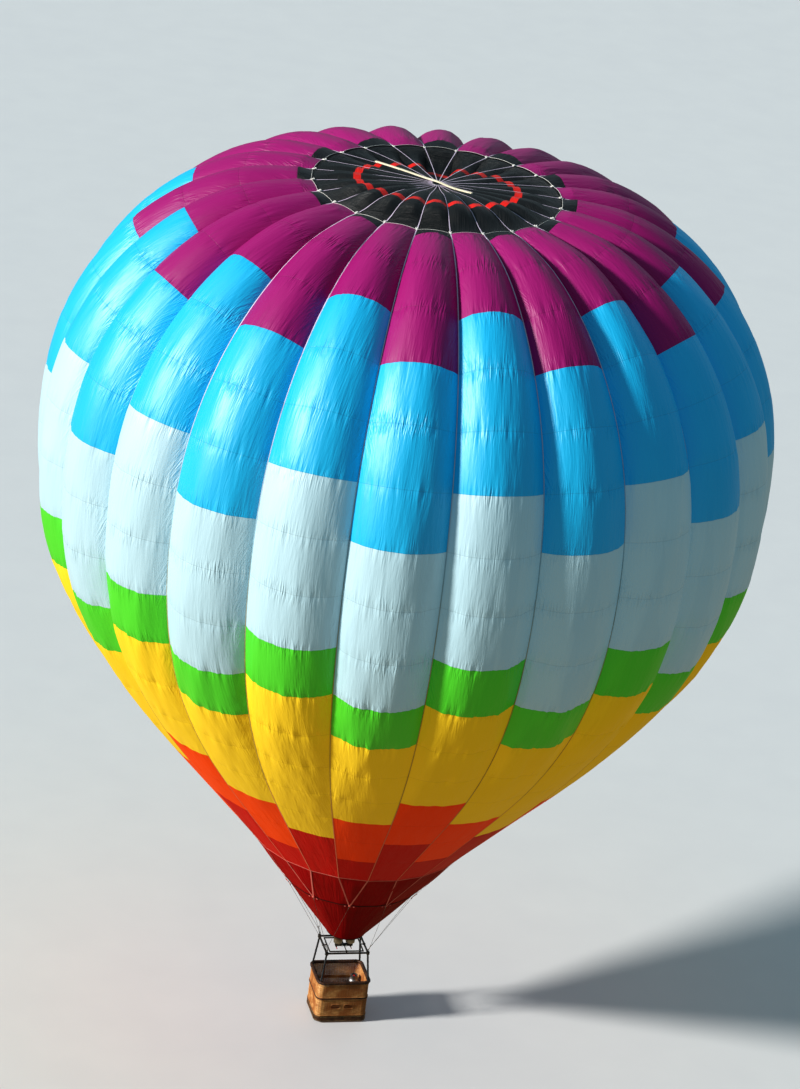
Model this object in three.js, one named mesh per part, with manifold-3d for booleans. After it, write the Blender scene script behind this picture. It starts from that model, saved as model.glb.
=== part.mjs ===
// Hot air balloon: a 24-gore envelope with a parachute vent, skirt, burner and wicker basket.
// Millimetres, +Z up. The origin is on the envelope's axis at its widest seam.
import * as THREE from 'three';
import { mergeVertices } from 'three/addons/utils/BufferGeometryUtils.js';
import Module from 'manifold-3d';

const wasm = await Module();
wasm.setup();

// Envelope
const GORES = 24;
const SHELL = 10;
const PANEL_HEIGHT = 1380;
const WIDEST_RADIUS = 8720;
const WIDEST_SEAM = 8;
const SEAM_GAP = 0.4;
const GORE_COLUMNS = 3;
const FIRST_GORE_ANGLE = -105;

// One row of fabric panels for each line, from the vent's edge down to the mouth.
// drop is how steeply the row falls, in degrees: 0 runs level outwards, 90 straight down.
// share is the row's height in panel heights. bulge is how far the gores stand out at its lower seam.
// modelled says whether the row's lower seam is a row of points in the solids.
const ROWS = [
  { drop: 6, share: 0.25, bulge: 120, modelled: true },
  { drop: 15, share: 1, bulge: 290, modelled: true },
  { drop: 30, share: 1, bulge: 420, modelled: true },
  { drop: 42, share: 1, bulge: 500, modelled: true },
  { drop: 54, share: 1, bulge: 550, modelled: true },
  { drop: 66, share: 1, bulge: 570, modelled: true },
  { drop: 78, share: 1, bulge: 575, modelled: true },
  { drop: 87, share: 1, bulge: 570, modelled: false },
  { drop: 94, share: 1, bulge: 550, modelled: true },
  { drop: 101.5, share: 1, bulge: 470, modelled: true },
  { drop: 110, share: 1, bulge: 330, modelled: true },
  { drop: 118, share: 1, bulge: 190, modelled: true },
  { drop: 124, share: 1, bulge: 105, modelled: false },
  { drop: 128.5, share: 1, bulge: 60, modelled: true },
  { drop: 130.5, share: 1, bulge: 30, modelled: false },
  { drop: 131, share: 1, bulge: 15, modelled: false },
  { drop: 131, share: 1, bulge: 0, modelled: true },
];

// Load tapes, sewn over the seams, and the crown that gathers them
const TAPE_WIDTH = 40;
const TAPE_THICKNESS = 6;
const TAPE_LIFT = 1;
const CROWN_RISE = 150;
const CROWN_RING_RADIUS = 150;
const CROWN_RING_TUBE = 12;
const CROWN_HUB_WIDTH = 60;
const HEM_WIDTH = 34;
const TAPE_END = 42;
const CROWN_RING_SIDES = 16;
const TOUCH = 0.3;

// Parachute vent, the round panel that closes the top from inside
const VENT_OVERLAP = 130;
const VENT_DOME = 150;
const VENT_GAP = 0.35;

// Skirt below the mouth
const SKIRT_SPLIT_DEPTH = 1330;
const SKIRT_SPLIT_RADIUS = 1878;
const SKIRT_DEPTH = 3140;
const SKIRT_BOTTOM_RADIUS = 500;

// Burner frame, with the gimbal and the double burner inside it
const FRAME_DEPTH = 3570;
const FRAME_X = 560;
const FRAME_Y = 460;
const FRAME_TUBE = 42;
const CORNER_BLOCK = { width: 80, height: 90 };
const LUG = { width: 50, thickness: 12, height: 70, hole: 32, bar: 14 };
const LINK = { length: 120, width: 64, bar: 12, thickness: 10, trim: 14 };
const WIRE_RADIUS = 4;
const APEX_OFFSET = 40;
const APEX_RADIUS = 32;
const GIMBAL_X = 455;
const GIMBAL_Y = 355;
const GIMBAL_TUBE = 30;
const OUTER_PIN_RADIUS = 15.6;
const INNER_PIN_RADIUS = 12.6;
const PIN_CLEARANCE = 0.5;
const MANIFOLD = { length: 480, width: 90, height: 60 };
const JET = { post: 16, radius: 55, flare: 62, thickness: 16, height: 90 };
const VALVE = { x: 195, width: 34, depth: 46, height: 70, y: 40, drop: 50 };
const LEVER = { width: 16, length: 120, thickness: 10, y: -40, drop: 70 };
const LEVER_POST = { size: 30, height: 50, y: -10, drop: 50 };
const CAN = { offset: 165, foot: 60, radius: 122, wall: 4, flare: 80, top: 270 };
const COIL = { radius: 96, groove: 2, turns: 4, bottom: 120, top: 330 };

// Basket
const HEADROOM = 2000;
const BASKET = { length: 1400, width: 1150, corner: 160, wall: 26, height: 1100 };
const FLOOR_THICKNESS = 18;
const SCUFF = { height: 150, thickness: 8 };
const RIM_RADIUS = 45;
const POLE = { radius: 27, foot_x: 640, foot_y: 515, sides: 10 };
const STEP_HOLE = { width: 220, height: 130, above_floor: 420, x: 180 };
const SKID = { length: 1240, width: 70, height: 45, spacing: 420 };
const CYLINDER = { radius: 152, height: 830, collar: 86, x: 500, y: 374 };

const paint = (color, roughness, metalness = 0) =>
  new THREE.MeshStandardMaterial({ color, roughness, metalness });
const MATERIALS = {
  fabric: paint(0x2aa8e0, 0.5),
  vent: paint(0x16181c, 0.55),
  skirt: paint(0x7a0a0c, 0.7),
  webbing: paint(0xe6e2dc, 0.8),
  steel: paint(0xb8bcc0, 0.3, 1),
  aluminium: paint(0xc8ccd0, 0.35, 1),
  wicker: paint(0xb98a4e, 0.8),
  leather: paint(0x4a2f1d, 0.6),
  wood: paint(0x9c7a4c, 0.7),
};

const balloon = new THREE.Group();

const radians = THREE.MathUtils.degToRad;

function polar(radius, degrees, z) {
  return new THREE.Vector3(radius * Math.cos(radians(degrees)), radius * Math.sin(radians(degrees)), z);
}

function add(name, geometry, material) {
  const mesh = new THREE.Mesh(geometry, material);
  mesh.name = name;
  balloon.add(mesh);
  return mesh;
}

// Closed solids from rings of points

function signedVolume(points, triangles) {
  const cross = new THREE.Vector3();
  let volume = 0;
  for (const [a, b, c] of triangles) {
    volume += points[a].dot(cross.crossVectors(points[b], points[c])) / 6;
  }
  return volume;
}

function geometryOf(points, triangles) {
  const outward = signedVolume(points, triangles) > 0;
  const order = outward ? triangles : triangles.map(([a, b, c]) => [a, c, b]);
  const geometry = new THREE.BufferGeometry();
  geometry.setAttribute('position', new THREE.Float32BufferAttribute(points.flatMap((p) => p.toArray()), 3));
  geometry.setIndex(order.flat());
  return geometry;
}

// Triangles that close a ring of points, in a zigzag between its two sides.
function zigzag(sides) {
  const triangles = [];
  let low = 0;
  let high = sides - 1;
  while (high - low > 1) {
    triangles.push([low, low + 1, high]);
    low += 1;
    if (high - low > 1) {
      triangles.push([low, high - 1, high]);
      high -= 1;
    }
  }
  return triangles;
}

// Joins rings of equally many points into one solid, capped at its ends or closed on itself.
// From side backFrom on, the squares are split along their other diagonal. That is the back of a
// thin wall, which then follows its front at an even distance where the squares aren't flat.
function sweep(rings, closed = false, backFrom = Infinity) {
  const sides = rings[0].length;
  const triangles = [];
  const at = (ring, side) => (ring % rings.length) * sides + (side % sides);
  const spans = closed ? rings.length : rings.length - 1;
  for (let ring = 0; ring < spans; ring += 1) {
    for (let side = 0; side < sides; side += 1) {
      const corners = [at(ring, side), at(ring + 1, side), at(ring + 1, side + 1), at(ring, side + 1)];
      const [a, b, c, d] = side < backFrom ? corners : [...corners.slice(1), corners[0]];
      triangles.push([a, b, d]);
      triangles.push([b, c, d]);
    }
  }
  if (!closed) {
    const last = rings.length - 1;
    for (const [a, b, c] of zigzag(sides)) {
      triangles.push([at(0, a), at(0, b), at(0, c)]);
      triangles.push([at(last, a), at(last, c), at(last, b)]);
    }
  }
  return geometryOf(rings.flat(), triangles);
}

function circleAround(centre, direction, radius, sides) {
  const along = direction.clone().normalize();
  const helper = Math.abs(along.z) < 0.9 ? new THREE.Vector3(0, 0, 1) : new THREE.Vector3(1, 0, 0);
  const first = new THREE.Vector3().crossVectors(along, helper).normalize();
  const second = new THREE.Vector3().crossVectors(along, first);
  return Array.from({ length: sides }, (_, side) => {
    const angle = (2 * Math.PI * side) / sides;
    return centre.clone()
      .addScaledVector(first, radius * Math.cos(angle))
      .addScaledVector(second, radius * Math.sin(angle));
  });
}

function rod(from, to, radius, sides) {
  const direction = to.clone().sub(from);
  return sweep([circleAround(from, direction, radius, sides), circleAround(to, direction, radius, sides)]);
}

function box(width, depth, height, x, y, z) {
  return new THREE.BoxGeometry(width, depth, height).translate(x, y, z);
}

// Booleans

function toSolid(geometry) {
  const bare = new THREE.BufferGeometry();
  bare.setAttribute('position', geometry.getAttribute('position').clone());
  if (geometry.index) {
    bare.setIndex(geometry.index.clone());
  }
  const merged = mergeVertices(bare, 1e-3);
  return new wasm.Manifold(new wasm.Mesh({
    numProp: 3,
    vertProperties: new Float32Array(merged.getAttribute('position').array),
    triVerts: new Uint32Array(merged.index.array),
  }));
}

function toGeometry(solid) {
  const mesh = solid.getMesh();
  const geometry = new THREE.BufferGeometry();
  geometry.setAttribute('position', new THREE.BufferAttribute(new Float32Array(mesh.vertProperties), 3));
  geometry.setIndex(new THREE.BufferAttribute(new Uint32Array(mesh.triVerts), 1));
  return geometry;
}

function join(geometries) {
  return toGeometry(geometries.map(toSolid).reduce((whole, piece) => whole.add(piece)));
}

function cut(geometry, tools) {
  return toGeometry(tools.map(toSolid).reduce((whole, tool) => whole.subtract(tool), toSolid(geometry)));
}

// Meridian: where the tapes run, from the vent's edge to the mouth

function meridian() {
  const steps = ROWS.map(({ drop, share }) => ({
    out: PANEL_HEIGHT * share * Math.cos(radians(drop)),
    down: PANEL_HEIGHT * share * Math.sin(radians(drop)),
  }));
  const above = steps.slice(0, WIDEST_SEAM);
  let radius = WIDEST_RADIUS - above.reduce((sum, step) => sum + step.out, 0);
  let z = above.reduce((sum, step) => sum + step.down, 0);
  const seams = [{ radius, z, bulge: 0, drop: ROWS[0].drop, modelled: true }];
  ROWS.forEach(({ drop, bulge, modelled }, row) => {
    radius += steps[row].out;
    z -= steps[row].down;
    const next = ROWS[row + 1] ?? ROWS[row];
    seams.push({ radius, z, bulge, drop: (drop + next.drop) / 2, modelled });
  });
  return seams;
}

const SEAMS = meridian();
const STATIONS = SEAMS.filter(({ modelled }) => modelled);
const VENT_EDGE = SEAMS[0];
const MOUTH = SEAMS[SEAMS.length - 1];
const GORE_ANGLE = 360 / GORES;

function outwardNormal(drop, degrees) {
  const level = Math.sin(radians(drop));
  return polar(level, degrees, Math.cos(radians(drop)));
}

// A gore's cross-section is an arc of a circle over the chord between its two seams.
function lobe(share, chord, rise) {
  if (rise < 1) {
    return { along: share * chord / 2, height: 0 };
  }
  const arcRadius = (chord * chord / 4 + rise * rise) / (2 * rise);
  const halfAngle = Math.asin(chord / 2 / arcRadius);
  return {
    along: arcRadius * Math.sin(share * halfAngle),
    height: arcRadius * Math.cos(share * halfAngle) - (arcRadius - rise),
  };
}

function gore(centreAngle) {
  const outer = [];
  const inner = [];
  for (const { radius, z, bulge, drop } of STATIONS) {
    const chord = 2 * radius * Math.sin(radians(GORE_ANGLE / 2)) - SEAM_GAP;
    const middle = polar(radius * Math.cos(radians(GORE_ANGLE / 2)), centreAngle, z);
    const across = polar(1, centreAngle + 90, 0);
    const normal = outwardNormal(drop, centreAngle);
    const outerRow = [];
    const innerRow = [];
    for (let column = 0; column <= GORE_COLUMNS; column += 1) {
      const share = (2 * column) / GORE_COLUMNS - 1;
      const { along, height } = lobe(share, chord, bulge);
      const point = middle.clone().addScaledVector(across, along).addScaledVector(normal, height);
      const atSeam = Math.abs(share) === 1;
      const inwards = atSeam ? outwardNormal(drop, centreAngle + share * GORE_ANGLE / 2) : normal;
      outerRow.push(point);
      innerRow.push(point.clone().addScaledVector(inwards, -SHELL));
    }
    outer.push(outerRow);
    inner.push(innerRow.reverse());
  }
  return sweep(outer.map((row, station) => [...row, ...inner[station]]), false, GORE_COLUMNS + 1);
}

for (let number = 0; number < GORES; number += 1) {
  const name = `gore_${String(number + 1).padStart(2, '0')}`;
  add(name, gore(FIRST_GORE_ANGLE + number * GORE_ANGLE), MATERIALS.fabric);
}

// Load tapes

function crownHeight(radius) {
  const share = radius / VENT_EDGE.radius;
  return VENT_EDGE.z + CROWN_RISE * (1 - share * share);
}

function tapeSection(point, normal, degrees, valleySlope) {
  const across = polar(1, degrees + 90, 0);
  const half = TAPE_WIDTH / 2;
  const edgeLift = TAPE_LIFT + TAPE_THICKNESS + Math.max(0, valleySlope) * half;
  return [
    point.clone().addScaledVector(normal, TAPE_LIFT),
    point.clone().addScaledVector(normal, edgeLift).addScaledVector(across, half),
    point.clone().addScaledVector(normal, edgeLift).addScaledVector(across, -half),
  ];
}

// How steeply the gores rise beside their seam, against the plane that a tape lies in.
function valleySlopeAt({ radius, bulge, drop }) {
  const chord = 2 * radius * Math.sin(radians(GORE_ANGLE / 2));
  const edge = lobe(-1, chord, bulge);
  const next = lobe(-1 + 2 / GORE_COLUMNS, chord, bulge);
  const rise = Math.atan2(next.height - edge.height, next.along - edge.along);
  return Math.tan(rise - radians(GORE_ANGLE / 2) * Math.sin(radians(drop)));
}

const HUB_INNER = (CROWN_RING_RADIUS + CROWN_RING_TUBE + TOUCH) / Math.cos(radians(GORE_ANGLE / 2));
const HUB_OUTER = HUB_INNER + CROWN_HUB_WIDTH;

function loadTape(degrees) {
  const rings = [HUB_INNER + CROWN_HUB_WIDTH / 2, 1100, 2200].map((radius) => {
    const slope = Math.atan(2 * CROWN_RISE * radius / VENT_EDGE.radius ** 2);
    const normal = polar(Math.sin(slope), degrees, Math.cos(slope));
    return tapeSection(polar(radius, degrees, crownHeight(radius)), normal, degrees, 0);
  });
  for (const station of STATIONS) {
    const [radius, z] = station === MOUTH ? offsetFromMouth(-TAPE_END, 0) : [station.radius, station.z];
    const normal = outwardNormal(station.drop, degrees);
    rings.push(tapeSection(polar(radius, degrees, z), normal, degrees, valleySlopeAt(station)));
  }
  return sweep(rings);
}

// A band with one flat for each gore, its corners on the seams.
function seamRing(profile) {
  const rings = [];
  for (let corner = 0; corner < GORES; corner += 1) {
    const degrees = FIRST_GORE_ANGLE + (corner + 0.5) * GORE_ANGLE;
    rings.push(profile.map(([radius, z]) => polar(radius, degrees, z)));
  }
  return sweep(rings, true);
}

function offsetFromMouth(down, out) {
  const slope = radians(MOUTH.drop);
  return [
    MOUTH.radius + down * Math.cos(slope) + out * Math.sin(slope),
    MOUTH.z - down * Math.sin(slope) + out * Math.cos(slope),
  ];
}

function loadTapeNet() {
  const tapes = [];
  for (let number = 0; number < GORES; number += 1) {
    tapes.push(loadTape(FIRST_GORE_ANGLE + (number + 0.5) * GORE_ANGLE));
  }
  const hubZ = crownHeight(HUB_OUTER);
  const hub = seamRing([
    [HUB_INNER, hubZ], [HUB_OUTER, hubZ],
    [HUB_OUTER, hubZ + 2 * TAPE_THICKNESS], [HUB_INNER, hubZ + 2 * TAPE_THICKNESS],
  ]);
  return join([...tapes, hub]);
}

add('load_tapes', loadTapeNet(), MATERIALS.webbing);

// Hems: one inside the vent's edge, under the tapes, and one outside the mouth, where the tapes end
function ventHem() {
  const low = VENT_EDGE.z - SHELL + 2;
  const high = VENT_EDGE.z + TAPE_LIFT - TOUCH;
  const lean = (high - low) * Math.tan(radians(VENT_EDGE.drop));
  return seamRing([
    [VENT_EDGE.radius - HEM_WIDTH, low], [VENT_EDGE.radius - TOUCH - lean, low],
    [VENT_EDGE.radius - TOUCH, high], [VENT_EDGE.radius - HEM_WIDTH, high],
  ]);
}

function mouthHem() {
  return seamRing([
    offsetFromMouth(0, TOUCH),
    offsetFromMouth(TOUCH - TAPE_END, TAPE_LIFT + TOUCH),
    offsetFromMouth(TOUCH - TAPE_END, TAPE_LIFT + TAPE_THICKNESS),
    offsetFromMouth(0, TAPE_LIFT + TAPE_THICKNESS),
  ]);
}

add('vent_hem', ventHem(), MATERIALS.webbing);
add('mouth_hem', mouthHem(), MATERIALS.webbing);

const crownRing = new THREE.TorusGeometry(CROWN_RING_RADIUS, CROWN_RING_TUBE, 6, CROWN_RING_SIDES);
crownRing.translate(0, 0, crownHeight(HUB_OUTER) + TAPE_THICKNESS);
add('crown_ring', crownRing, MATERIALS.aluminium);

// Parachute vent

function parachuteVent() {
  const edgeRadius = VENT_EDGE.radius + VENT_OVERLAP;
  const slope = Math.tan(radians(VENT_EDGE.drop));
  const edgeZ = VENT_EDGE.z - VENT_OVERLAP * slope - SHELL - VENT_GAP;
  const shares = [0, 0.25, 0.5, 0.75, 0.92, 1];
  const top = shares.map((share) =>
    new THREE.Vector2(share * edgeRadius, edgeZ + VENT_DOME * (1 - share * share)));
  const underside = top.map(({ x, y }) => new THREE.Vector2(x, y - SHELL));
  const dome = new THREE.LatheGeometry([...underside, ...top.reverse()], GORES);
  return dome.rotateX(Math.PI / 2).rotateZ(radians(GORE_ANGLE / 2));
}

add('parachute_vent', parachuteVent(), MATERIALS.vent);

// Skirt, in two lengths that carry on the line of the envelope's cone

function skirtLength(top, bottom) {
  const fall = Math.atan2(top[1] - bottom[1], top[0] - bottom[0]);
  const inwards = [-Math.sin(fall) * SHELL, Math.cos(fall) * SHELL];
  return seamRing([
    top, bottom,
    [bottom[0] + inwards[0], bottom[1] + inwards[1]],
    [top[0] + inwards[0], top[1] + inwards[1]],
  ]);
}

const SPLIT_Z = MOUTH.z - SKIRT_SPLIT_DEPTH;
const SKIRT_BOTTOM_Z = MOUTH.z - SKIRT_DEPTH;
add('skirt_upper', skirtLength(offsetFromMouth(TOUCH, 0), [SKIRT_SPLIT_RADIUS, SPLIT_Z]), MATERIALS.skirt);
add('skirt_lower', skirtLength(
  [SKIRT_SPLIT_RADIUS - TOUCH, SPLIT_Z - TOUCH],
  [SKIRT_BOTTOM_RADIUS, SKIRT_BOTTOM_Z],
), MATERIALS.skirt);

// Burner frame

const FRAME_Z = MOUTH.z - FRAME_DEPTH;
const CORNERS = [[1, 1], [-1, 1], [-1, -1], [1, -1]];
const BLOCK_TOP = FRAME_Z + CORNER_BLOCK.height / 2;

function lugAt(x, y) {
  const direction = Math.atan2(y, x);
  const plate = new THREE.BoxGeometry(LUG.width, LUG.thickness, LUG.height + 10);
  plate.rotateZ(direction).translate(x, y, BLOCK_TOP + LUG.height / 2 - 5);
  return plate;
}

function lugHoleAt(x, y) {
  const hole = new THREE.BoxGeometry(LUG.hole, LUG.thickness * 2, LUG.hole);
  hole.rotateZ(Math.atan2(y, x)).translate(x, y, BLOCK_TOP + LUG.height - LUG.bar - LUG.hole / 2);
  return hole;
}

function burnerFrame() {
  const pieces = [
    box(2 * FRAME_X, FRAME_TUBE, FRAME_TUBE, 0, FRAME_Y, FRAME_Z),
    box(2 * FRAME_X, FRAME_TUBE, FRAME_TUBE, 0, -FRAME_Y, FRAME_Z),
    box(FRAME_TUBE, 2 * FRAME_Y, FRAME_TUBE, FRAME_X, 0, FRAME_Z),
    box(FRAME_TUBE, 2 * FRAME_Y, FRAME_TUBE, -FRAME_X, 0, FRAME_Z),
  ];
  const holes = [];
  for (const [signX, signY] of CORNERS) {
    const x = signX * FRAME_X;
    const y = signY * FRAME_Y;
    pieces.push(box(CORNER_BLOCK.width, CORNER_BLOCK.width, CORNER_BLOCK.height, x, y, FRAME_Z));
    pieces.push(lugAt(x, y));
    holes.push(lugHoleAt(x, y));
  }
  for (const side of [-1, 1]) {
    const from = new THREE.Vector3(side * (FRAME_X - FRAME_TUBE), 0, FRAME_Z);
    const to = new THREE.Vector3(side * (FRAME_X + FRAME_TUBE), 0, FRAME_Z);
    holes.push(rod(from, to, OUTER_PIN_RADIUS + PIN_CLEARANCE, 24));
  }
  return cut(join(pieces), holes);
}

add('burner_frame', burnerFrame(), MATERIALS.steel);

function gimbalRing() {
  const pieces = [
    box(2 * GIMBAL_X + GIMBAL_TUBE, GIMBAL_TUBE, GIMBAL_TUBE, 0, GIMBAL_Y, FRAME_Z),
    box(2 * GIMBAL_X + GIMBAL_TUBE, GIMBAL_TUBE, GIMBAL_TUBE, 0, -GIMBAL_Y, FRAME_Z),
    box(GIMBAL_TUBE, 2 * GIMBAL_Y, GIMBAL_TUBE, GIMBAL_X, 0, FRAME_Z),
    box(GIMBAL_TUBE, 2 * GIMBAL_Y, GIMBAL_TUBE, -GIMBAL_X, 0, FRAME_Z),
  ];
  const holes = [];
  for (const side of [-1, 1]) {
    const from = new THREE.Vector3(side * GIMBAL_X, 0, FRAME_Z);
    const to = new THREE.Vector3(side * (FRAME_X + FRAME_TUBE / 2), 0, FRAME_Z);
    pieces.push(rod(from, to, OUTER_PIN_RADIUS, 16));
    const inside = new THREE.Vector3(0, side * (GIMBAL_Y - GIMBAL_TUBE), FRAME_Z);
    const outside = new THREE.Vector3(0, side * (GIMBAL_Y + GIMBAL_TUBE), FRAME_Z);
    holes.push(rod(inside, outside, INNER_PIN_RADIUS + PIN_CLEARANCE, 24));
  }
  return cut(join(pieces), holes);
}

add('gimbal_ring', gimbalRing(), MATERIALS.steel);

function latheZ(profile, segments, x, y, z) {
  const points = profile.map(([radius, height]) => new THREE.Vector2(radius, height));
  return new THREE.LatheGeometry(points, segments).rotateX(Math.PI / 2).translate(x, y, z);
}

function burnerBlock() {
  const pinEnd = GIMBAL_Y + GIMBAL_TUBE / 2;
  const pieces = [
    box(MANIFOLD.length, MANIFOLD.width, MANIFOLD.height, 0, 0, FRAME_Z),
    rod(new THREE.Vector3(0, -pinEnd, FRAME_Z), new THREE.Vector3(0, pinEnd, FRAME_Z), INNER_PIN_RADIUS, 16),
  ];
  for (const side of [-1, 1]) {
    const base = new THREE.Vector3(side * CAN.offset, 0, FRAME_Z);
    const top = base.clone().setZ(FRAME_Z + JET.height);
    const jet = new THREE.CylinderGeometry(JET.radius, JET.flare, JET.thickness, 14).rotateX(Math.PI / 2);
    const x = side * VALVE.x;
    pieces.push(
      rod(base, top, JET.post, 10),
      jet.translate(top.x, top.y, top.z),
      box(VALVE.width, VALVE.depth, VALVE.height, x, VALVE.y, FRAME_Z - VALVE.drop),
      box(LEVER.width, LEVER.length, LEVER.thickness, x, LEVER.y, FRAME_Z - LEVER.drop),
      box(LEVER_POST.size, LEVER_POST.size, LEVER_POST.height, x, LEVER_POST.y, FRAME_Z - LEVER_POST.drop),
    );
  }
  return join(pieces);
}

add('burner_block', burnerBlock(), MATERIALS.steel);

const CAN_BASE = MANIFOLD.height / 2 + TOUCH;
const CAN_PROFILE = [
  [CAN.foot, CAN_BASE], [CAN.foot + CAN.wall, CAN_BASE],
  [CAN.radius, CAN.flare], [CAN.radius, CAN.top],
  [CAN.radius - CAN.wall, CAN.top], [CAN.radius - CAN.wall, CAN.flare],
  [CAN.foot, CAN_BASE],
];

// The coil's turns lie against each other and against the can's inside.
function coilProfile() {
  const pitch = (COIL.top - COIL.bottom) / COIL.turns;
  const grooveRadius = COIL.radius + COIL.groove;
  const outer = [];
  for (let turn = 0; turn < COIL.turns; turn += 1) {
    outer.push([grooveRadius, COIL.bottom + turn * pitch]);
    outer.push([CAN.radius - CAN.wall - TOUCH, COIL.bottom + (turn + 0.5) * pitch]);
  }
  outer.push([grooveRadius, COIL.top]);
  return [[COIL.radius, COIL.bottom], ...outer, [COIL.radius, COIL.top], [COIL.radius, COIL.bottom]];
}

[-1, 1].forEach((side, index) => {
  const x = side * CAN.offset;
  add(`burner_can_${index + 1}`, latheZ(CAN_PROFILE, 16, x, 0, FRAME_Z), MATERIALS.steel);
  add(`burner_coil_${index + 1}`, latheZ(coilProfile(), 16, x, 0, FRAME_Z), MATERIALS.steel);
});

// Suspension: two tapes meet in each V, and three wires run from the Vs to each corner of the frame

function corner(quarter) {
  const [signX, signY] = CORNERS[quarter];
  return new THREE.Vector3(signX * FRAME_X, signY * FRAME_Y, FRAME_Z);
}

function onMouth(degrees, down, out) {
  const [radius, z] = offsetFromMouth(down, out);
  return polar(radius, degrees, z);
}

// A flat ring of bar with its corners cut off, lying along the given directions.
function linkAt(centre, level, direction) {
  const x = LINK.width / 2;
  const y = LINK.length / 2;
  const trim = LINK.trim;
  const outline = new THREE.Shape([
    [-x, trim - y], [trim - x, -y], [x - trim, -y], [x, trim - y],
    [x, y - trim], [x - trim, y], [trim - x, y], [-x, y - trim],
  ].map(([across, along]) => new THREE.Vector2(across, along)));
  const hole = box(LINK.width - 2 * LINK.bar, LINK.length - 2 * LINK.bar, 4 * LINK.thickness, 0, 0, 0);
  const plate = new THREE.ExtrudeGeometry(outline, { depth: LINK.thickness, bevelEnabled: false });
  const link = cut(plate.translate(0, 0, -LINK.thickness / 2), [hole]);
  const flat = new THREE.Vector3().crossVectors(level, direction);
  link.applyMatrix4(new THREE.Matrix4().makeBasis(level, direction, flat));
  return link.translate(centre.x, centre.y, centre.z);
}

// One leg of a V: a flat strap from a seam at the mouth down to the apex.
function strap(seamAngle, apexAngle, apex) {
  const top = onMouth(seamAngle, TOUCH, TAPE_THICKNESS / 2 + TOUCH);
  const run = apex.clone().sub(top).normalize();
  const out = outwardNormal(MOUTH.drop, apexAngle);
  const across = new THREE.Vector3().crossVectors(run, out).setLength(TAPE_WIDTH / 2);
  const thick = new THREE.Vector3().crossVectors(across, run).setLength(TAPE_THICKNESS / 2);
  const start = top.addScaledVector(run, TAPE_WIDTH / 5);
  return sweep([start, apex].map((end) => [[1, 1], [-1, 1], [-1, -1], [1, -1]].map(([a, b]) =>
    end.clone().addScaledVector(across, a).addScaledVector(thick, b))));
}

function suspension(quarter) {
  const slope = Math.atan2(SKIRT_SPLIT_DEPTH, MOUTH.radius - SKIRT_SPLIT_RADIUS);
  const splitFlat = SKIRT_SPLIT_RADIUS * Math.cos(radians(GORE_ANGLE / 2)) + Math.sin(slope) * APEX_OFFSET;
  const apexAngles = [15, 45, 75].map((angle) => quarter * 90 + angle);
  const apexes = apexAngles.map((degrees) =>
    polar(splitFlat, degrees, SPLIT_Z - Math.cos(slope) * APEX_OFFSET));
  const foot = corner(quarter);
  const direction = new THREE.Vector3();
  apexes.forEach((apex) => direction.add(apex.clone().sub(foot).normalize()));
  direction.normalize();
  const level = new THREE.Vector3(-foot.y, foot.x, 0).normalize();
  const flat = new THREE.Vector3().crossVectors(direction, level);
  const barTop = LINK.bar / 2 * Math.abs(direction.z) + LINK.thickness / 2 * Math.abs(flat.z);
  const barCentre = foot.clone().setZ(BLOCK_TOP + LUG.height - LUG.bar - TOUCH - barTop);
  const eye = LINK.length - LINK.bar;
  const linkTop = barCentre.clone().addScaledVector(direction, eye);
  const pieces = [linkAt(barCentre.clone().addScaledVector(direction, eye / 2), level, direction)];
  apexes.forEach((apex, index) => {
    pieces.push(rod(apex, linkTop, WIRE_RADIUS, 4));
    pieces.push(new THREE.OctahedronGeometry(APEX_RADIUS).translate(apex.x, apex.y, apex.z));
    for (const side of [-1, 1]) {
      pieces.push(strap(apexAngles[index] + side * GORE_ANGLE / 2, apexAngles[index], apex));
    }
  });
  return join(pieces);
}

for (let quarter = 0; quarter < 4; quarter += 1) {
  add(`suspension_${quarter + 1}`, suspension(quarter), MATERIALS.webbing);
}

// Basket

const FLOOR_Z = FRAME_Z - HEADROOM;
const WALL_TOP = FLOOR_Z + BASKET.height;

function roundedRectangle(length, width, radius) {
  const x = length / 2;
  const y = width / 2;
  const shape = new THREE.Shape();
  shape.moveTo(x, -y + radius);
  shape.lineTo(x, y - radius);
  shape.absarc(x - radius, y - radius, radius, 0, Math.PI / 2);
  shape.lineTo(-x + radius, y);
  shape.absarc(-x + radius, y - radius, radius, Math.PI / 2, Math.PI);
  shape.lineTo(-x, -y + radius);
  shape.absarc(-x + radius, -y + radius, radius, Math.PI, 1.5 * Math.PI);
  shape.lineTo(x - radius, -y);
  shape.absarc(x - radius, -y + radius, radius, 1.5 * Math.PI, 2 * Math.PI);
  return shape;
}

function upright(shape, bottom, height) {
  const solid = new THREE.ExtrudeGeometry(shape, { depth: height, bevelEnabled: false, curveSegments: 2 });
  return solid.translate(0, 0, bottom);
}

function band(outset, thickness, bottom, height) {
  const shape = roundedRectangle(
    BASKET.length + 2 * outset, BASKET.width + 2 * outset, BASKET.corner + outset,
  );
  const inset = outset - thickness;
  const inside = roundedRectangle(BASKET.length + 2 * inset, BASKET.width + 2 * inset, BASKET.corner + inset);
  shape.holes.push(inside);
  return upright(shape, bottom, height);
}

function basketWall() {
  const wall = band(0, BASKET.wall, FLOOR_Z - FLOOR_THICKNESS, BASKET.height + FLOOR_THICKNESS);
  const steps = [-1, 1].map((side) => box(
    STEP_HOLE.width, 4 * BASKET.wall, STEP_HOLE.height,
    side * STEP_HOLE.x, side * BASKET.width / 2, FLOOR_Z + STEP_HOLE.above_floor,
  ));
  return cut(wall, steps);
}

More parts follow.
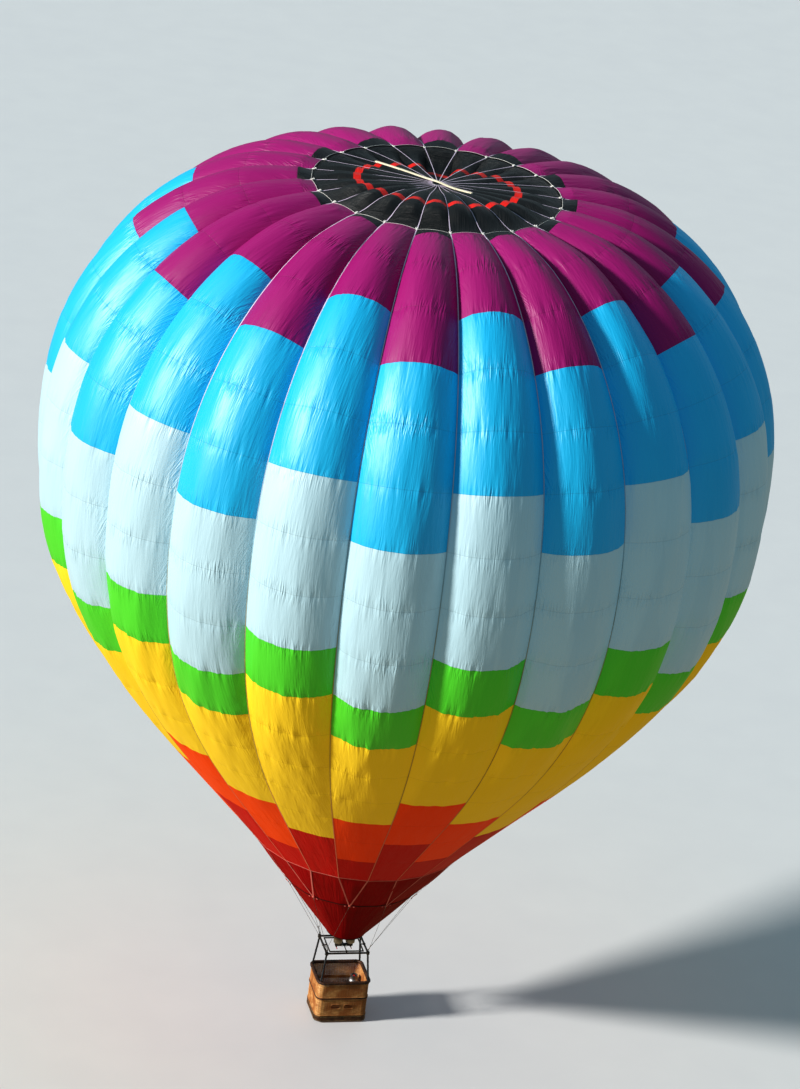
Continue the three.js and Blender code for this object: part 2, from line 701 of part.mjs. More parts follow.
function basketRim() {
  const centre = roundedRectangle(
    BASKET.length - BASKET.wall, BASKET.width - BASKET.wall, BASKET.corner - BASKET.wall / 2,
  );
  const points = centre.getPoints(2);
  points.pop();
  const sides = 8;
  const z = WALL_TOP + TOUCH + RIM_RADIUS * Math.cos(Math.PI / sides);
  const rings = points.map((point, index) => {
    const before = points[(index + points.length - 1) % points.length];
    const after = points[(index + 1) % points.length];
    const into = point.clone().sub(before).normalize();
    const away = after.clone().sub(point).normalize();
    const along = into.add(away).normalize();
    return Array.from({ length: sides }, (_, side) => {
      const angle = (2 * Math.PI * (side + 0.5)) / sides;
      const out = RIM_RADIUS * Math.cos(angle);
      const up = RIM_RADIUS * Math.sin(angle);
      return new THREE.Vector3(point.x + along.y * out, point.y - along.x * out, z + up);
    });
  });
  return sweep(rings, true);
}

const FLOOR_INSET = BASKET.wall + TOUCH;
const floorShape = roundedRectangle(
  BASKET.length - 2 * FLOOR_INSET, BASKET.width - 2 * FLOOR_INSET, BASKET.corner - FLOOR_INSET,
);
add('basket_wall', basketWall(), MATERIALS.wicker);
add('basket_rim', basketRim(), MATERIALS.leather);
add('basket_floor', upright(floorShape, FLOOR_Z - FLOOR_THICKNESS, FLOOR_THICKNESS), MATERIALS.wood);
add('basket_scuff', band(TOUCH + SCUFF.thickness, SCUFF.thickness, FLOOR_Z - FLOOR_THICKNESS, SCUFF.height),
  MATERIALS.leather);

const SKID_Z = FLOOR_Z - FLOOR_THICKNESS - TOUCH - SKID.height / 2;
[-1, 0, 1].forEach((place, index) => {
  add(`skid_${index + 1}`, box(SKID.length, SKID.width, SKID.height, 0, place * SKID.spacing, SKID_Z),
    MATERIALS.wood);
});

function pole(signX, signY) {
  const top = new THREE.Vector3(signX * FRAME_X, signY * FRAME_Y, FRAME_Z - CORNER_BLOCK.height / 2 - TOUCH);
  const rimTop = WALL_TOP + TOUCH + 2 * RIM_RADIUS * Math.cos(Math.PI / 8);
  const foot = new THREE.Vector3(signX * POLE.foot_x, signY * POLE.foot_y, rimTop + TOUCH);
  const level = new THREE.Vector3(0, 0, 1);
  return sweep([foot, top].map((end) => circleAround(end, level, POLE.radius, POLE.sides)));
}

CORNERS.forEach(([signX, signY], index) => {
  add(`upright_${index + 1}`, pole(signX, signY), MATERIALS.leather);
});

// Fuel cylinders

const CYLINDER_PROFILE = [
  [0, 0], [CYLINDER.radius - 22, 0], [CYLINDER.radius, 40], [CYLINDER.radius, CYLINDER.height - 190],
  [CYLINDER.collar + 11, CYLINDER.height - 110], [CYLINDER.collar + 8, CYLINDER.height],
  [CYLINDER.collar, CYLINDER.height], [CYLINDER.collar, CYLINDER.height - 96],
  [0, CYLINDER.height - 90],
];
[[-1, -1], [1, -1], [1, 1]].forEach(([signX, signY], index) => {
  const geometry = latheZ(CYLINDER_PROFILE, 16, signX * CYLINDER.x, signY * CYLINDER.y, FLOOR_Z + TOUCH);
  add(`fuel_cylinder_${index + 1}`, geometry, MATERIALS.aluminium);
});

export default balloon;
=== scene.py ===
import math

import bmesh
import bpy
import numpy as np
from mathutils import Matrix, Vector


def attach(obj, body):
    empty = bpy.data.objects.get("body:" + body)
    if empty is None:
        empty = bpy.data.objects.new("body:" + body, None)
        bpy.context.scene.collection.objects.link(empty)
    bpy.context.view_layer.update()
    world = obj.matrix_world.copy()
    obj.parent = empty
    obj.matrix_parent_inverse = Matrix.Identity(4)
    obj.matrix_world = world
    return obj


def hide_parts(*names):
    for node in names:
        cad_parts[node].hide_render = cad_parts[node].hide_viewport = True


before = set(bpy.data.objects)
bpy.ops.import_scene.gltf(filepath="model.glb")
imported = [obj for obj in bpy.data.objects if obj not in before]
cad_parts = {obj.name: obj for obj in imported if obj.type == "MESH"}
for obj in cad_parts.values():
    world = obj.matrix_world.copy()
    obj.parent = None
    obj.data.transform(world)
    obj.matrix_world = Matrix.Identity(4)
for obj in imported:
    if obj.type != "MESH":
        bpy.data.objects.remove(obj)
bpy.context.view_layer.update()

# Hot air balloon. Metres, +Z up, origin on the envelope's axis at its widest seam.

# Envelope
GORES = 24
GORE_ANGLE = 360 / GORES
FIRST_GORE = -105
SHELL = 0.010
PANEL = 1.38
WIDEST_RADIUS = 8.72
WIDEST_SEAM = 8
SEAM_GAP = 0.0004
GORE_COLUMNS = 60
RIM_BULGE = 0.05

# One line for each row of panels, from the vent's edge down to the mouth: how steeply it falls in
# degrees, its height in panels, and how far the gores stand out at its lower seam.
ROWS = np.array([
    (6, 0.25, 0.165), (15, 1, 0.345), (30, 1, 0.460), (42, 1, 0.515), (54, 1, 0.550), (66, 1, 0.570),
    (78, 1, 0.575), (87, 1, 0.570), (94, 1, 0.550), (101.5, 1, 0.470), (110, 1, 0.330), (118, 1, 0.190),
    (124, 1, 0.105), (128.5, 1, 0.060), (130.5, 1, 0.030), (131, 1, 0.015), (131, 1, 0.0),
])
DROP, SHARE, BULGE = ROWS.T
MOUTH = len(ROWS)

# Where the rows of points lie in a panel: close together at its seams, where the cloth puckers.
PANEL_STEPS = (0, 0.05, 0.14, 0.27, 0.42, 0.58, 0.73, 0.86, 0.95)
SHORT_PANEL_STEPS = (0, 0.4, 0.75)

# Load tapes, crown and vent. The vent lies VENT_GAP under the gores. Its cloth sags on its slack
# side, with a fold in it, and the crown puffs up opposite. Azimuths are in degrees from +X.
TAPE_WIDTH = 0.027
TAPE_THICKNESS = 0.003
STRAP_WIDTH = 0.040
STRAP_AZIMUTH = 127.5
CROWN_RISE = 0.150
RING_RADIUS = 0.150
RING_TUBE = 0.012
HUB_RADIUS = 0.2245
VENT_OVERLAP = 0.130
VENT_DOME = 0.150
VENT_GAP = 0.00035
RED_RING = 1.98
RED_RING_WIDTH = 0.190
SLACK_SIDE = 74
SLACK = 0.26
FOLD = 0.26
PUFF = 0.22

# Skirt
SPLIT_DEPTH = 1.330
SPLIT_RADIUS = 1.878
SKIRT_DEPTH = 3.140
SKIRT_BOTTOM_RADIUS = 0.500

# Burner frame and burner. FRAME and GIMBAL sizes reach from the middle to the tubes' centre lines,
# and CORNER_BLOCK gives width and height.
FRAME_DEPTH = 3.570
FRAME_X = 0.560
FRAME_Y = 0.460
FRAME_TUBE = 0.042
CORNER_BLOCK = (0.080, 0.090)
LUG_HEIGHT = 0.070
LUG_BAR = 0.014
LINK_LENGTH = 0.120
LINK_WIDTH = 0.064
LINK_BAR = 0.012
GIMBAL_X = 0.455
GIMBAL_Y = 0.355
GIMBAL_TUBE = 0.030
CAN_X = 0.165

# Basket. BASKET and SKID give length, width and, for a skid, height. Each RISE is a height over the
# floor, SLEEVE_STRAPS are shares of a pole's length, and POLE_FOOT and CYLINDER_PLACE give the place
# in one corner.
HEADROOM = 2.0
BASKET = (1.400, 1.150)
BASKET_CORNER = 0.160
BASKET_HEIGHT = 1.100
WALL = 0.026
FLOOR_THICKNESS = 0.018
RIM_RADIUS = 0.045
SCUFF_HEIGHT = 0.150
BELT_RISE = 0.645
BELT_HEIGHT = 0.050
STEP_X = 0.180
STEP_WIDTH = 0.220
STEP_HEIGHT = 0.130
STEP_RISE = 0.420
SKID = (1.240, 0.070, 0.045)
SKID_SPACING = 0.420
STAKES = 70
WEAVE_PITCH = 0.0140
POLE_FOOT = (0.640, 0.515)
SLEEVE_STRAPS = (0.12, 0.5, 0.88)
CYLINDER_PLACE = (0.500, 0.374)
CYLINDER_RADIUS = 0.1505

# Shared: half a gore's angle in radians, the room between a piece and what it rests on, and the
# signs of a rectangle's corners, anticlockwise.
HALF_GORE = math.radians(GORE_ANGLE / 2)
SEAT_GAP = 0.0003
CORNERS = ((1, 1), (-1, 1), (-1, -1), (1, -1))


def srgb(red, green, blue):
    """A colour from its 0 to 255 screen values."""
    parts = np.array([red, green, blue]) / 255
    linear = np.where(parts <= 0.04045, parts / 12.92, ((parts + 0.055) / 1.055) ** 2.4)
    return (*linear.tolist(), 1.0)


DYES = {
    "black": srgb(18, 21, 25),
    "purple": srgb(150, 17, 107),
    "blue": srgb(0, 176, 224),
    "white": srgb(178, 208, 220),
    "green": srgb(78, 202, 43),
    "yellow": srgb(243, 207, 52),
    "orange": srgb(242, 78, 3),
    "red": srgb(200, 2, 6),
}
# How much each dyed cloth shines: 0 the most, 2 the least.
SHEENS = {"black": 1, "purple": 1, "blue": 0, "white": 0, "green": 0, "yellow": 2, "orange": 2, "red": 2}
# The lowest row of each colour, from the vent down, on the first gore of each pair and on the two
# kinds of second gore.
PATTERNS = (
    (("black", 1), ("purple", 4), ("blue", 7), ("white", 10), ("green", 11), ("yellow", 14),
     ("orange", 16), ("red", 17)),
    (("purple", 3), ("blue", 6), ("white", 9), ("green", 10), ("yellow", 13), ("orange", 15),
     ("red", 17)),
    (("purple", 3), ("blue", 6), ("white", 9), ("green", 10), ("yellow", 15), ("red", 17)),
)


def unit(vectors):
    vectors = np.asarray(vectors, float)
    return vectors / np.linalg.norm(vectors, axis=-1, keepdims=True)


def polar(radius, degrees, z):
    """Points at a distance from the balloon's axis, in a direction and at a height."""
    angle = np.radians(degrees)
    parts = np.broadcast_arrays(radius * np.cos(angle), radius * np.sin(angle), z)
    return np.stack(parts, -1).astype(float)


def smooth(low, high, value):
    """0 below low, 1 above high, and a soft rise between them."""
    share = np.clip((value - low) / (high - low), 0, 1)
    return share * share * (3 - 2 * share)


def turns(count):
    """Evenly spaced angles that make up one full turn."""
    return np.arange(count) * 2 * math.pi / count


# Finishes


class Wire:
    """A value that runs from one node to the next. Python's operators add Math nodes."""

    def __init__(self, tree, socket):
        self.tree, self.socket = tree, socket

    def out(self, name):
        return Wire(self.tree, self.socket.node.outputs[name])

    def __add__(self, other):
        return self.tree.math("ADD", self, other)

    def __radd__(self, other):
        return self.tree.math("ADD", other, self)

    def __sub__(self, other):
        return self.tree.math("SUBTRACT", self, other)

    def __rsub__(self, other):
        return self.tree.math("SUBTRACT", other, self)

    def __mul__(self, other):
        return self.tree.math("MULTIPLY", self, other)

    def __rmul__(self, other):
        return self.tree.math("MULTIPLY", other, self)

    def __truediv__(self, other):
        return self.tree.math("DIVIDE", self, other)

    def __abs__(self):
        return self.tree.math("ABSOLUTE", self)

    def part(self):
        """What is left over a whole number."""
        return self.tree.math("FRACT", self)

    def least(self, other):
        return self.tree.math("MINIMUM", self, other)

    def wave(self):
        return self.tree.math("SINE", self)

    def sign(self):
        return self.tree.math("SIGN", self)

    def fades(self, start, end):
        """1 at start, falling or rising to 0 at end."""
        settings = {"interpolation_type": "SMOOTHSTEP", "clamp": True}
        inputs = {"Value": self, "From Min": start, "From Max": end, "To Min": 1.0, "To Max": 0.0}
        return self.tree.node("ShaderNodeMapRange", settings, inputs)


class Tree:
    """A node tree, with one way of adding any node."""

    def node(self, kind, settings=None, inputs=None, output=0):
        made = self.tree.nodes.new(kind)
        for name, value in (settings or {}).items():
            if name == "stops":
                self.set_stops(made.color_ramp, value)
            else:
                setattr(made, name, value)
        for name, value in (inputs or {}).items():
            self.feed(made.inputs[name], value)
        return Wire(self, made.outputs[output])

    def set_stops(self, ramp, stops):
        while len(ramp.elements) < len(stops):
            ramp.elements.new(0.5)
        for element, (place, colour) in zip(ramp.elements, stops):
            element.position, element.color = place, colour

    def feed(self, socket, value):
        if isinstance(value, Wire):
            self.tree.links.new(value.socket, socket)
        else:
            socket.default_value = value

    def math(self, operation, *values):
        return self.node("ShaderNodeMath", {"operation": operation}, dict(enumerate(values)))

    def vector(self, x, y, z=0.0):
        return self.node("ShaderNodeCombineXYZ", None, {"X": x, "Y": y, "Z": z})


class Finish(Tree):
    """A material, from the numbers that are the same all over it and the parts that vary."""

    def __init__(self, name, numbers):
        self.material = bpy.data.materials.new(name)
        self.material.use_nodes = True
        self.tree = self.material.node_tree
        self.surface = self.tree.nodes["Principled BSDF"]
        for socket, value in numbers.items():
            self.surface.inputs[socket].default_value = value

    def place(self):
        return self.node("ShaderNodeTexCoord", None, None, "Object")

    def map(self):
        """The two values of the piece's own map: across it, and along it."""
        both = self.node("ShaderNodeUVMap", {"uv_map": "map"})
        split = self.node("ShaderNodeSeparateXYZ", None, {0: both})
        return split.out("X"), split.out("Y")

    def attribute(self, name, output="Fac"):
        return self.node("ShaderNodeAttribute", {"attribute_name": name}, None, output)

    def mix(self, share, first, second):
        settings = {"data_type": "RGBA"}
        return self.node("ShaderNodeMix", settings, {0: share, 6: first, 7: second}, 2)

    def shade(self, colour, amount):
        """A colour made darker or lighter by a factor."""
        inputs = {0: colour if isinstance(colour, Wire) else colour[:3], "Scale": amount}
        return self.node("ShaderNodeVectorMath", {"operation": "SCALE"}, inputs)

    def noise(self, vector, scale=1.0, detail=2.0, rough=0.5):
        inputs = {"Vector": vector, "Scale": scale, "Detail": detail, "Roughness": rough}
        return self.node("ShaderNodeTexNoise", None, inputs)

    def stretch(self, vector, sizes):
        return self.node("ShaderNodeVectorMath", {"operation": "MULTIPLY"}, {0: vector, 1: sizes})

    def show(self, colour=None, roughness=None, height=None, glow=None):
        """Joins what varies to the surface. height is in metres."""
        for socket, value in (("Base Color", colour), ("Roughness", roughness), ("Emission Color", glow)):
            if value is not None:
                self.feed(self.surface.inputs[socket], value)
        if height is not None:
            bump = self.node("ShaderNodeBump", None, {"Height": height, "Distance": 1.0, "Strength": 1.0})
            self.feed(self.surface.inputs["Normal"], bump)
        return self.material


def ripstop(name, sheen):
    """Coated nylon: dyed panels, felled seams, and puckers that run up and down from each seam.

    It has a painted glow in its own dye, standing in for the daylight that comes through from the far
    side.
    """
    cloth = Finish(name, {"Specular IOR Level": sheen, "Emission Strength": 0.12})
    across, level = cloth.map()
    width = cloth.attribute("width")
    lot = cloth.attribute("lot")
    dye = cloth.attribute("dye", "Color")
    metres = across * width
    along = level * PANEL
    place = level.part()
    from_seam = place.least(1 - place) * PANEL
    from_edge = across.least(1 - across) * width
    seam = from_seam.fades(0.008, 0.014)
    seam_pull = from_seam.fades(0.0, 0.42)
    edge_pull = from_edge.fades(0.0, 0.45)
    slant = metres + (across - 0.5).sign() * along * 0.45
    pucker = abs(cloth.noise(cloth.vector(metres * 13, along * 1.5, lot)) - 0.5)
    crease = cloth.noise(cloth.vector(metres * 6, along * 0.8, lot + 11))
    drag = abs(cloth.noise(cloth.vector(slant * 12, along * 1.1, lot + 23)) - 0.5)
    patch = cloth.noise(cloth.vector(metres * 0.8, along * 0.6, lot + 31))
    taut = 0.3 + 0.7 * level.fades(9.6, 12.4)
    strength = patch.fades(0.78, 0.34) * taut
    grid = (metres * 900).wave() * (along * 900).wave() * 0.00006
    height = (pucker * (0.014 + seam_pull * strength * 0.098)
              + (crease - 0.5) * (0.014 + seam_pull * taut * 0.024)
              + drag * edge_pull * strength * 0.095
              - seam * 0.002 + grid)
    shade = (0.93 + patch * 0.14) * (1 - seam * 0.12) * (1 - from_edge.fades(0.0, 0.05) * 0.15)
    # Painted glow: the cloth emits its own dye squared, at the strength set above, in place of daylight
    # shining through it.
    glow = cloth.node("ShaderNodeVectorMath", {"operation": "MULTIPLY"}, {0: dye, 1: dye})
    return cloth.show(
        colour=cloth.shade(dye, shade), roughness=0.44 + crease * 0.10, height=height, glow=glow,
    )


def vent_cloth():
    """Black nylon with a red ring sewn on, seams along the load tapes and creases at the rim."""
    cloth = Finish("vent_nylon", {"Specular IOR Level": 0.4})
    sector, radius = cloth.map()
    from_ring = abs(radius - RED_RING)
    ring = from_ring.fades(RED_RING_WIDTH / 2 - 0.003, RED_RING_WIDTH / 2 + 0.003)
    hem = abs(from_ring - RED_RING_WIDTH / 2).fades(0.004, 0.012)
    place = sector.part()
    from_seam = place.least(1 - place) * radius * math.radians(GORE_ANGLE)
    seam = from_seam.fades(0.008, 0.016)
    rays = cloth.noise(cloth.vector(sector * radius * 4, radius * 0.8), 1.0, 3.0, 0.6)
    dust = cloth.noise(cloth.vector(sector * radius, radius * 3, 4.0), 1.0, 3.0, 0.6)
    black = cloth.mix(dust, srgb(8, 9, 11), srgb(25, 27, 29))
    red = cloth.mix(dust, srgb(205, 14, 12), srgb(236, 44, 30))
    colour = cloth.mix(ring, black, red)
    colour = cloth.shade(colour, (1 - seam * 0.35) * (1 - hem * 0.3))
    height = (rays - 0.5) * (0.020 + radius.fades(3.1, 2.2) * 0.050) + ring * 0.003 - seam * 0.002
    return cloth.show(colour=colour, roughness=0.40 + rays * 0.15, height=height)


def skirt_cloth(name, lit, deep):
    """Fire-proof skirt cloth: plain dyed, with upright creases and a twill too fine to see far off."""
    cloth = Finish(name, {"Specular IOR Level": 0.06})
    around, drop = cloth.map()
    creases = cloth.noise(cloth.vector(around * 9, drop * 0.9), 1.0, 3.0, 0.55)
    mottle = cloth.noise(cloth.place(), 1.3, 3.0, 0.6)
    twill = ((around * 14 + drop) * 700).wave() * 0.00008
    seam = around.part().least(1 - around.part()).fades(0.006, 0.016)
    colour = cloth.shade(cloth.mix(mottle, deep, lit), 1 - seam * 0.3)
    height = (creases - 0.5) * 0.022 + twill - seam * 0.002
    return cloth.show(colour=colour, roughness=0.48 + creases * 0.2, height=height)


def webbing(name, colour, painted_bounce=None):
    """Woven polyester tape: ribs across it, and a stitched line near each edge.

    The last argument, when given, holds painted tints for a long tape, from its mouth end up to its pale
    crown end: the coloured light that the gores beside it bounce onto it.
    """
    tape = Finish(name, {"Specular IOR Level": 0.25})
    across, along = tape.map()
    if painted_bounce:
        height = tape.node("ShaderNodeSeparateXYZ", None, {0: tape.place()}, "Z")
        share = (height + 11) / 19
        # Painted bounce light: the colour changes with height to the tints that the neighbouring gores
        # cast on the tape.
        stops = ((0.0, painted_bounce[0]), (0.17, painted_bounce[0]), (0.25, painted_bounce[1]), (0.44, painted_bounce[1]), (0.62, painted_bounce[2]),
                 (0.88, colour))
        colour = tape.node("ShaderNodeValToRGB", {"stops": stops}, {"Fac": share})
    ribs = (along * 1570).wave()
    stitch_line = abs(abs(across - 0.5) - 0.36).fades(0.02, 0.05)
    stitches = stitch_line * (along * 600).wave().fades(0.6, -0.2)
    grime = tape.noise(tape.place(), 2.2, 4.0, 0.6)
    base = tape.mix(grime.fades(0.45, 0.75), tape.shade(colour, 0.72), colour)
    return tape.show(
        colour=tape.shade(base, 1 - stitches * 0.25 - ribs * 0.03),
        roughness=0.6 + grime * 0.2, height=ribs * 0.0002 + stitches * 0.0008,
    )


def metal(name, colour, stained, rough=0.3, grain=(1.0, 1.0, 40.0)):
    """Brushed metal with dulled patches and handling marks."""
    plate = Finish(name, {"Metallic": 1.0})
    place = plate.place()
    brush = plate.noise(plate.stretch(place, grain), 18.0, 3.0, 0.6)
    patches = plate.noise(place, 6.0, 4.0, 0.6)
    colour = plate.mix(patches.fades(0.66, 0.42), stained, colour)
    return plate.show(
        colour=plate.shade(colour, 0.85 + brush * 0.3),
        roughness=rough + patches * 0.15 + brush * 0.1, height=brush * 0.0004,
    )


def heated_steel():
    """Stainless steel that the flame has turned straw, brown and blue towards the top."""
    can = Finish("heated_steel", {"Metallic": 1.0})
    place = can.place()
    height = can.node("ShaderNodeSeparateXYZ", None, {0: place}, "Z") - FRAME_Z
    patches = can.noise(place, 9.0, 4.0, 0.6)
    heat = (height + (patches - 0.5) * 0.10) * 3.0
    tints = ((0.0, srgb(150, 152, 155)), (0.35, srgb(176, 172, 160)), (0.6, srgb(160, 136, 106)),
             (0.78, srgb(96, 70, 82)), (1.0, srgb(66, 78, 104)))
    colour = can.node("ShaderNodeValToRGB", {"stops": tints}, {"Fac": heat})
    brush = can.noise(can.stretch(place, (1, 1, 30)), 25.0, 3.0, 0.6)
    return can.show(
        colour=can.shade(colour, 0.8 + brush * 0.35), roughness=0.28 + patches * 0.25,
        height=brush * 0.0003,
    )


def cane():
    """Peeled willow and cane: warm tan, each strand a little different, darker in broad patches."""
    strand = Finish("wicker_cane", {"Specular IOR Level": 0.45, "Coat Roughness": 0.3})
    place = strand.place()
    broad = strand.noise(place, 3.0, 3.0, 0.6)
    each = strand.noise(strand.stretch(place, (7, 7, 74)), 1.0, 1.0, 0.4)
    fibre = strand.noise(strand.stretch(place, (60, 60, 500)), 1.0, 3.0, 0.7)
    colour = strand.mix(each.fades(0.72, 0.30), srgb(232, 184, 122), srgb(196, 134, 74))
    colour = strand.mix(broad.fades(0.62, 0.30), colour, srgb(166, 104, 54))
    return strand.show(
        colour=strand.shade(colour, 0.82 + fibre * 0.34), roughness=0.42 + fibre * 0.25,
        height=fibre * 0.0008,
    )


def leather(name, light, dark, scale=90.0):
    """Hide with a pebbled grain, creases, and a paler, rubbed surface in patches."""
    hide = Finish(name, {"Specular IOR Level": 0.4, "Coat Roughness": 0.35})
    place = hide.place()
    pebbles = {"Vector": place, "Scale": scale}
    cells = hide.node("ShaderNodeTexVoronoi", {"feature": "DISTANCE_TO_EDGE"}, pebbles)
    worn = hide.noise(place, 5.0, 5.0, 0.65)
    creases = hide.noise(place, 26.0, 4.0, 0.6)
    colour = hide.mix(worn.fades(0.64, 0.40), light, dark)
    grain = cells.fades(0.0, 0.10)
    return hide.show(
        colour=hide.shade(colour, 1 - grain * 0.22), roughness=0.45 + worn * 0.25,
        height=creases * 0.0018 - grain * 0.0004,
    )


def timber(name, light, dark):
    """Varnished wood with its grain along X, and scuffed."""
    board = Finish(name, {"Specular IOR Level": 0.45})
    place = board.place()
    rings = board.noise(board.stretch(place, (1.4, 26, 26)), 1.0, 5.0, 0.65)
    scuffs = board.noise(place, 9.0, 5.0, 0.7)
    colour = board.mix(rings.fades(0.66, 0.36), light, dark)
    return board.show(
        colour=board.shade(colour, 0.78 + scuffs * 0.4), roughness=0.45 + scuffs * 0.3,
        height=rings * 0.0006,
    )


def rubber(name, colour):
    """Moulded grip or padded cover cloth with a fine, even weave."""
    cover = Finish(name, {"Specular IOR Level": 0.3})
    place = cover.place()
    weave = cover.noise(place, 420.0, 1.0, 0.5)
    wear = cover.noise(place, 7.0, 4.0, 0.6)
    pale = tuple(min(1.0, part * 2.2 + 0.02) for part in colour[:3]) + (1.0,)
    return cover.show(
        colour=cover.mix(wear.fades(0.75, 0.35), pale, colour), roughness=0.6 + wear * 0.2,
        height=weave * 0.0008 + wear * 0.002,
    )


def studio_floor():
    """Pale, even floor that can be seen through from below."""
    ground = Finish("studio_floor", {"Specular IOR Level": 0.1, "Roughness": 0.9})
    specks = ground.noise(ground.place(), 0.7, 3.0, 0.5)
    ground.show(colour=ground.mix(specks, srgb(216, 218, 221), srgb(222, 224, 226)))
    back = ground.node("ShaderNodeNewGeometry", None, None, "Backfacing")
    clear = ground.node("ShaderNodeBsdfTransparent")
    both = ground.node("ShaderNodeMixShader", None, {
        0: back, 1: Wire(ground, ground.surface.outputs["BSDF"]), 2: clear,
    })
    ground.feed(ground.tree.nodes["Material Output"].inputs["Surface"], both)
    return ground.material


# Forms


class Form:
    """The points and faces of a piece, gathered part by part."""

    def __init__(self):
        self.points, self.faces, self.corners, self.paints = [], [], [], []
        self.count = 0

    def grid(self, points, across=None, along=None, round_across=False, round_along=False, ends=(),
             paint=0):
        """Squares over rows of points. ends are extra faces, such as caps, by point number.

        across and along are the map's two values at each column and row, with one more where it closes.
        """
        rows, columns = points.shape[:2]
        across = np.arange(columns + 1.0) if across is None else across
        along = np.arange(rows + 1.0) if along is None else along
        row, column = (part.ravel() for part in np.meshgrid(
            np.arange(rows if round_along else rows - 1),
            np.arange(columns if round_across else columns - 1), indexing="ij"))
        steps = ((0, 0), (0, 1), (1, 1), (1, 0))
        faces = np.stack([(row + up) % rows * columns + (column + over) % columns
                          for up, over in steps], -1)
        corners = np.stack([np.stack([across[column + over], along[row + up]], -1)
                            for up, over in steps], 1)
        flat_along, flat_across = np.repeat(along[:rows], columns), np.tile(across[:columns], rows)
        ends = [list(face) for face in ends]
        self.points.append(points.reshape(-1, 3))
        self.corners.append(corners.reshape(-1, 2))
        self.corners += [np.stack([flat_across[face], flat_along[face]], -1) for face in ends]
        faces = faces.tolist() + ends
        self.faces += [[number + self.count for number in face] for face in faces]
        self.paints += [paint] * len(faces)
        self.count += rows * columns

    def hoop(self, rings, far):
        """A closed section carried round a closed line. far is how far along it each ring lies."""
        self.grid(rings, np.linspace(0, 1, rings.shape[1] + 1), far, True, True)

    def make(self, name, finishes, sharp=38):
        """The gathered form as an object, its doubles merged and its faces turned outwards."""
        mesh = bpy.data.meshes.new(name)
        mesh.from_pydata(np.concatenate(self.points).tolist(), [], self.faces)
        layer = mesh.uv_layers.new(name="map")
        layer.data.foreach_set("uv", np.concatenate(self.corners).astype(np.float32).ravel())
        for finish in finishes:
            mesh.materials.append(finish)
        mesh.polygons.foreach_set("material_index", self.paints)
        work = bmesh.new()
        work.from_mesh(mesh)
        bmesh.ops.remove_doubles(work, verts=work.verts, dist=2e-5)
        bmesh.ops.dissolve_degenerate(work, edges=work.edges, dist=1e-6)
        bmesh.ops.recalc_face_normals(work, faces=work.faces)
        work.to_mesh(mesh)
        work.free()
        soften(mesh, sharp)
        return show(bpy.data.objects.new(name, mesh))


def show(piece):
    """Puts an object into the scene."""
    bpy.context.scene.collection.objects.link(piece)
    return piece


def soften(mesh, sharp):
    """Smooth shading, with edges kept sharp where the faces turn by more than some degrees."""
    mesh.shade_smooth()
    mesh.set_sharp_from_angle(angle=math.radians(sharp))


def settle(piece, body, slot, *nodes):
    """Puts a finished piece on its body and hides the solids it stands for. slot is not used."""
    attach(piece, body)
    if nodes:
        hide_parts(*nodes)
    return piece


def heading(path, closed=False):
    """The direction of a path at each of its points."""
    if closed:
        return unit(np.roll(path, -1, 0) - np.roll(path, 1, 0))
    return unit(np.gradient(path, axis=0))


def lengths(path, closed=False):
    """How far along the path each point is, with the full length last where it closes."""
    if closed:
        path = np.concatenate([path, path[:1]])
    return np.concatenate([[0], np.cumsum(np.linalg.norm(np.diff(path, axis=0), axis=1))])


def sweep(form, path, section, up, closed=False, paint=0):
    """A section drawn along a path. Its first column goes to the side and its second one up."""
    path = np.asarray(path, float)
    ahead = heading(path, closed)
    side = unit(np.cross(ahead, np.broadcast_to(np.asarray(up, float), path.shape)))
    top = np.cross(side, ahead)
    section = np.broadcast_to(section, (len(path), *np.shape(section)[-2:]))
    rings = path[:, None] + section[..., :1] * side[:, None] + section[..., 1:] * top[:, None]
    sides = rings.shape[1]
    around = np.linspace(0, 1, sides + 1)
    last = (len(path) - 1) * sides
    caps = () if closed else (range(sides), range(last, last + sides))
    form.grid(rings, around, lengths(path, closed), True, closed, caps, paint)


def circle(radius, sides):
    angle = turns(sides)
    return np.stack([radius * np.cos(angle), radius * np.sin(angle)], -1)


def rounded(width, height, radius, steps=3):
    """A rectangle with rounded corners, as points round its middle."""
    points = []
    for quarter, (x, y) in enumerate(CORNERS):
        for step in range(steps + 1):
            angle = math.pi / 2 * (quarter + step / steps)
            points.append((x * (width / 2 - radius) + radius * math.cos(angle),
                           y * (height / 2 - radius) + radius * math.sin(angle)))
    return np.array(points)


def bar(form, start, end, width, height, radius=0.004, up=(0, 0, 1), paint=0):
    """A straight bar with rounded edges and ends."""
    start, end = np.asarray(start, float), np.asarray(end, float)
    ahead = unit(end - start)
    inset = rounded(width - 2 * radius, height - 2 * radius, radius * 0.5)
    mid = rounded(width - 0.6 * radius, height - 0.6 * radius, radius * 0.9)
    full = rounded(width, height, radius)
    path = [start, start + ahead * radius * 0.3, start + ahead * radius,
            end - ahead * radius, end - ahead * radius * 0.3, end]
    sweep(form, path, np.array([inset, mid, full, full, mid, inset]), up, paint=paint)


def tube(form, path, radius, sides=12, up=(0, 0, 1), closed=False, paint=0):
    sweep(form, path, circle(radius, sides), up, closed, paint)


def ferrule(form, place, way, half, shoulder, radius, sides, up):
    """A short tube centred on a place, with rings of points at its shoulders that keep its ends crisp."""
    path = [place + way * far for far in (-half, -shoulder, shoulder, half)]
    tube(form, path, radius, sides, up=up)


def post(form, place, half, width, depth, radius, paint=0):
    """An upright bar centred on a place."""
    place = np.asarray(place, float)
    bar(form, place - (0, 0, half), place + (0, 0, half), width, depth, radius, (0, 1, 0), paint)


def eased_ring(bore, outside, low, high, inwards=0.003, along=0.004):
    """The profile of a ring with eased outer edges."""
    return [(bore, low), (outside - inwards, low), (outside, low + along), (outside, high - along),
            (outside - inwards, high), (bore, high)]


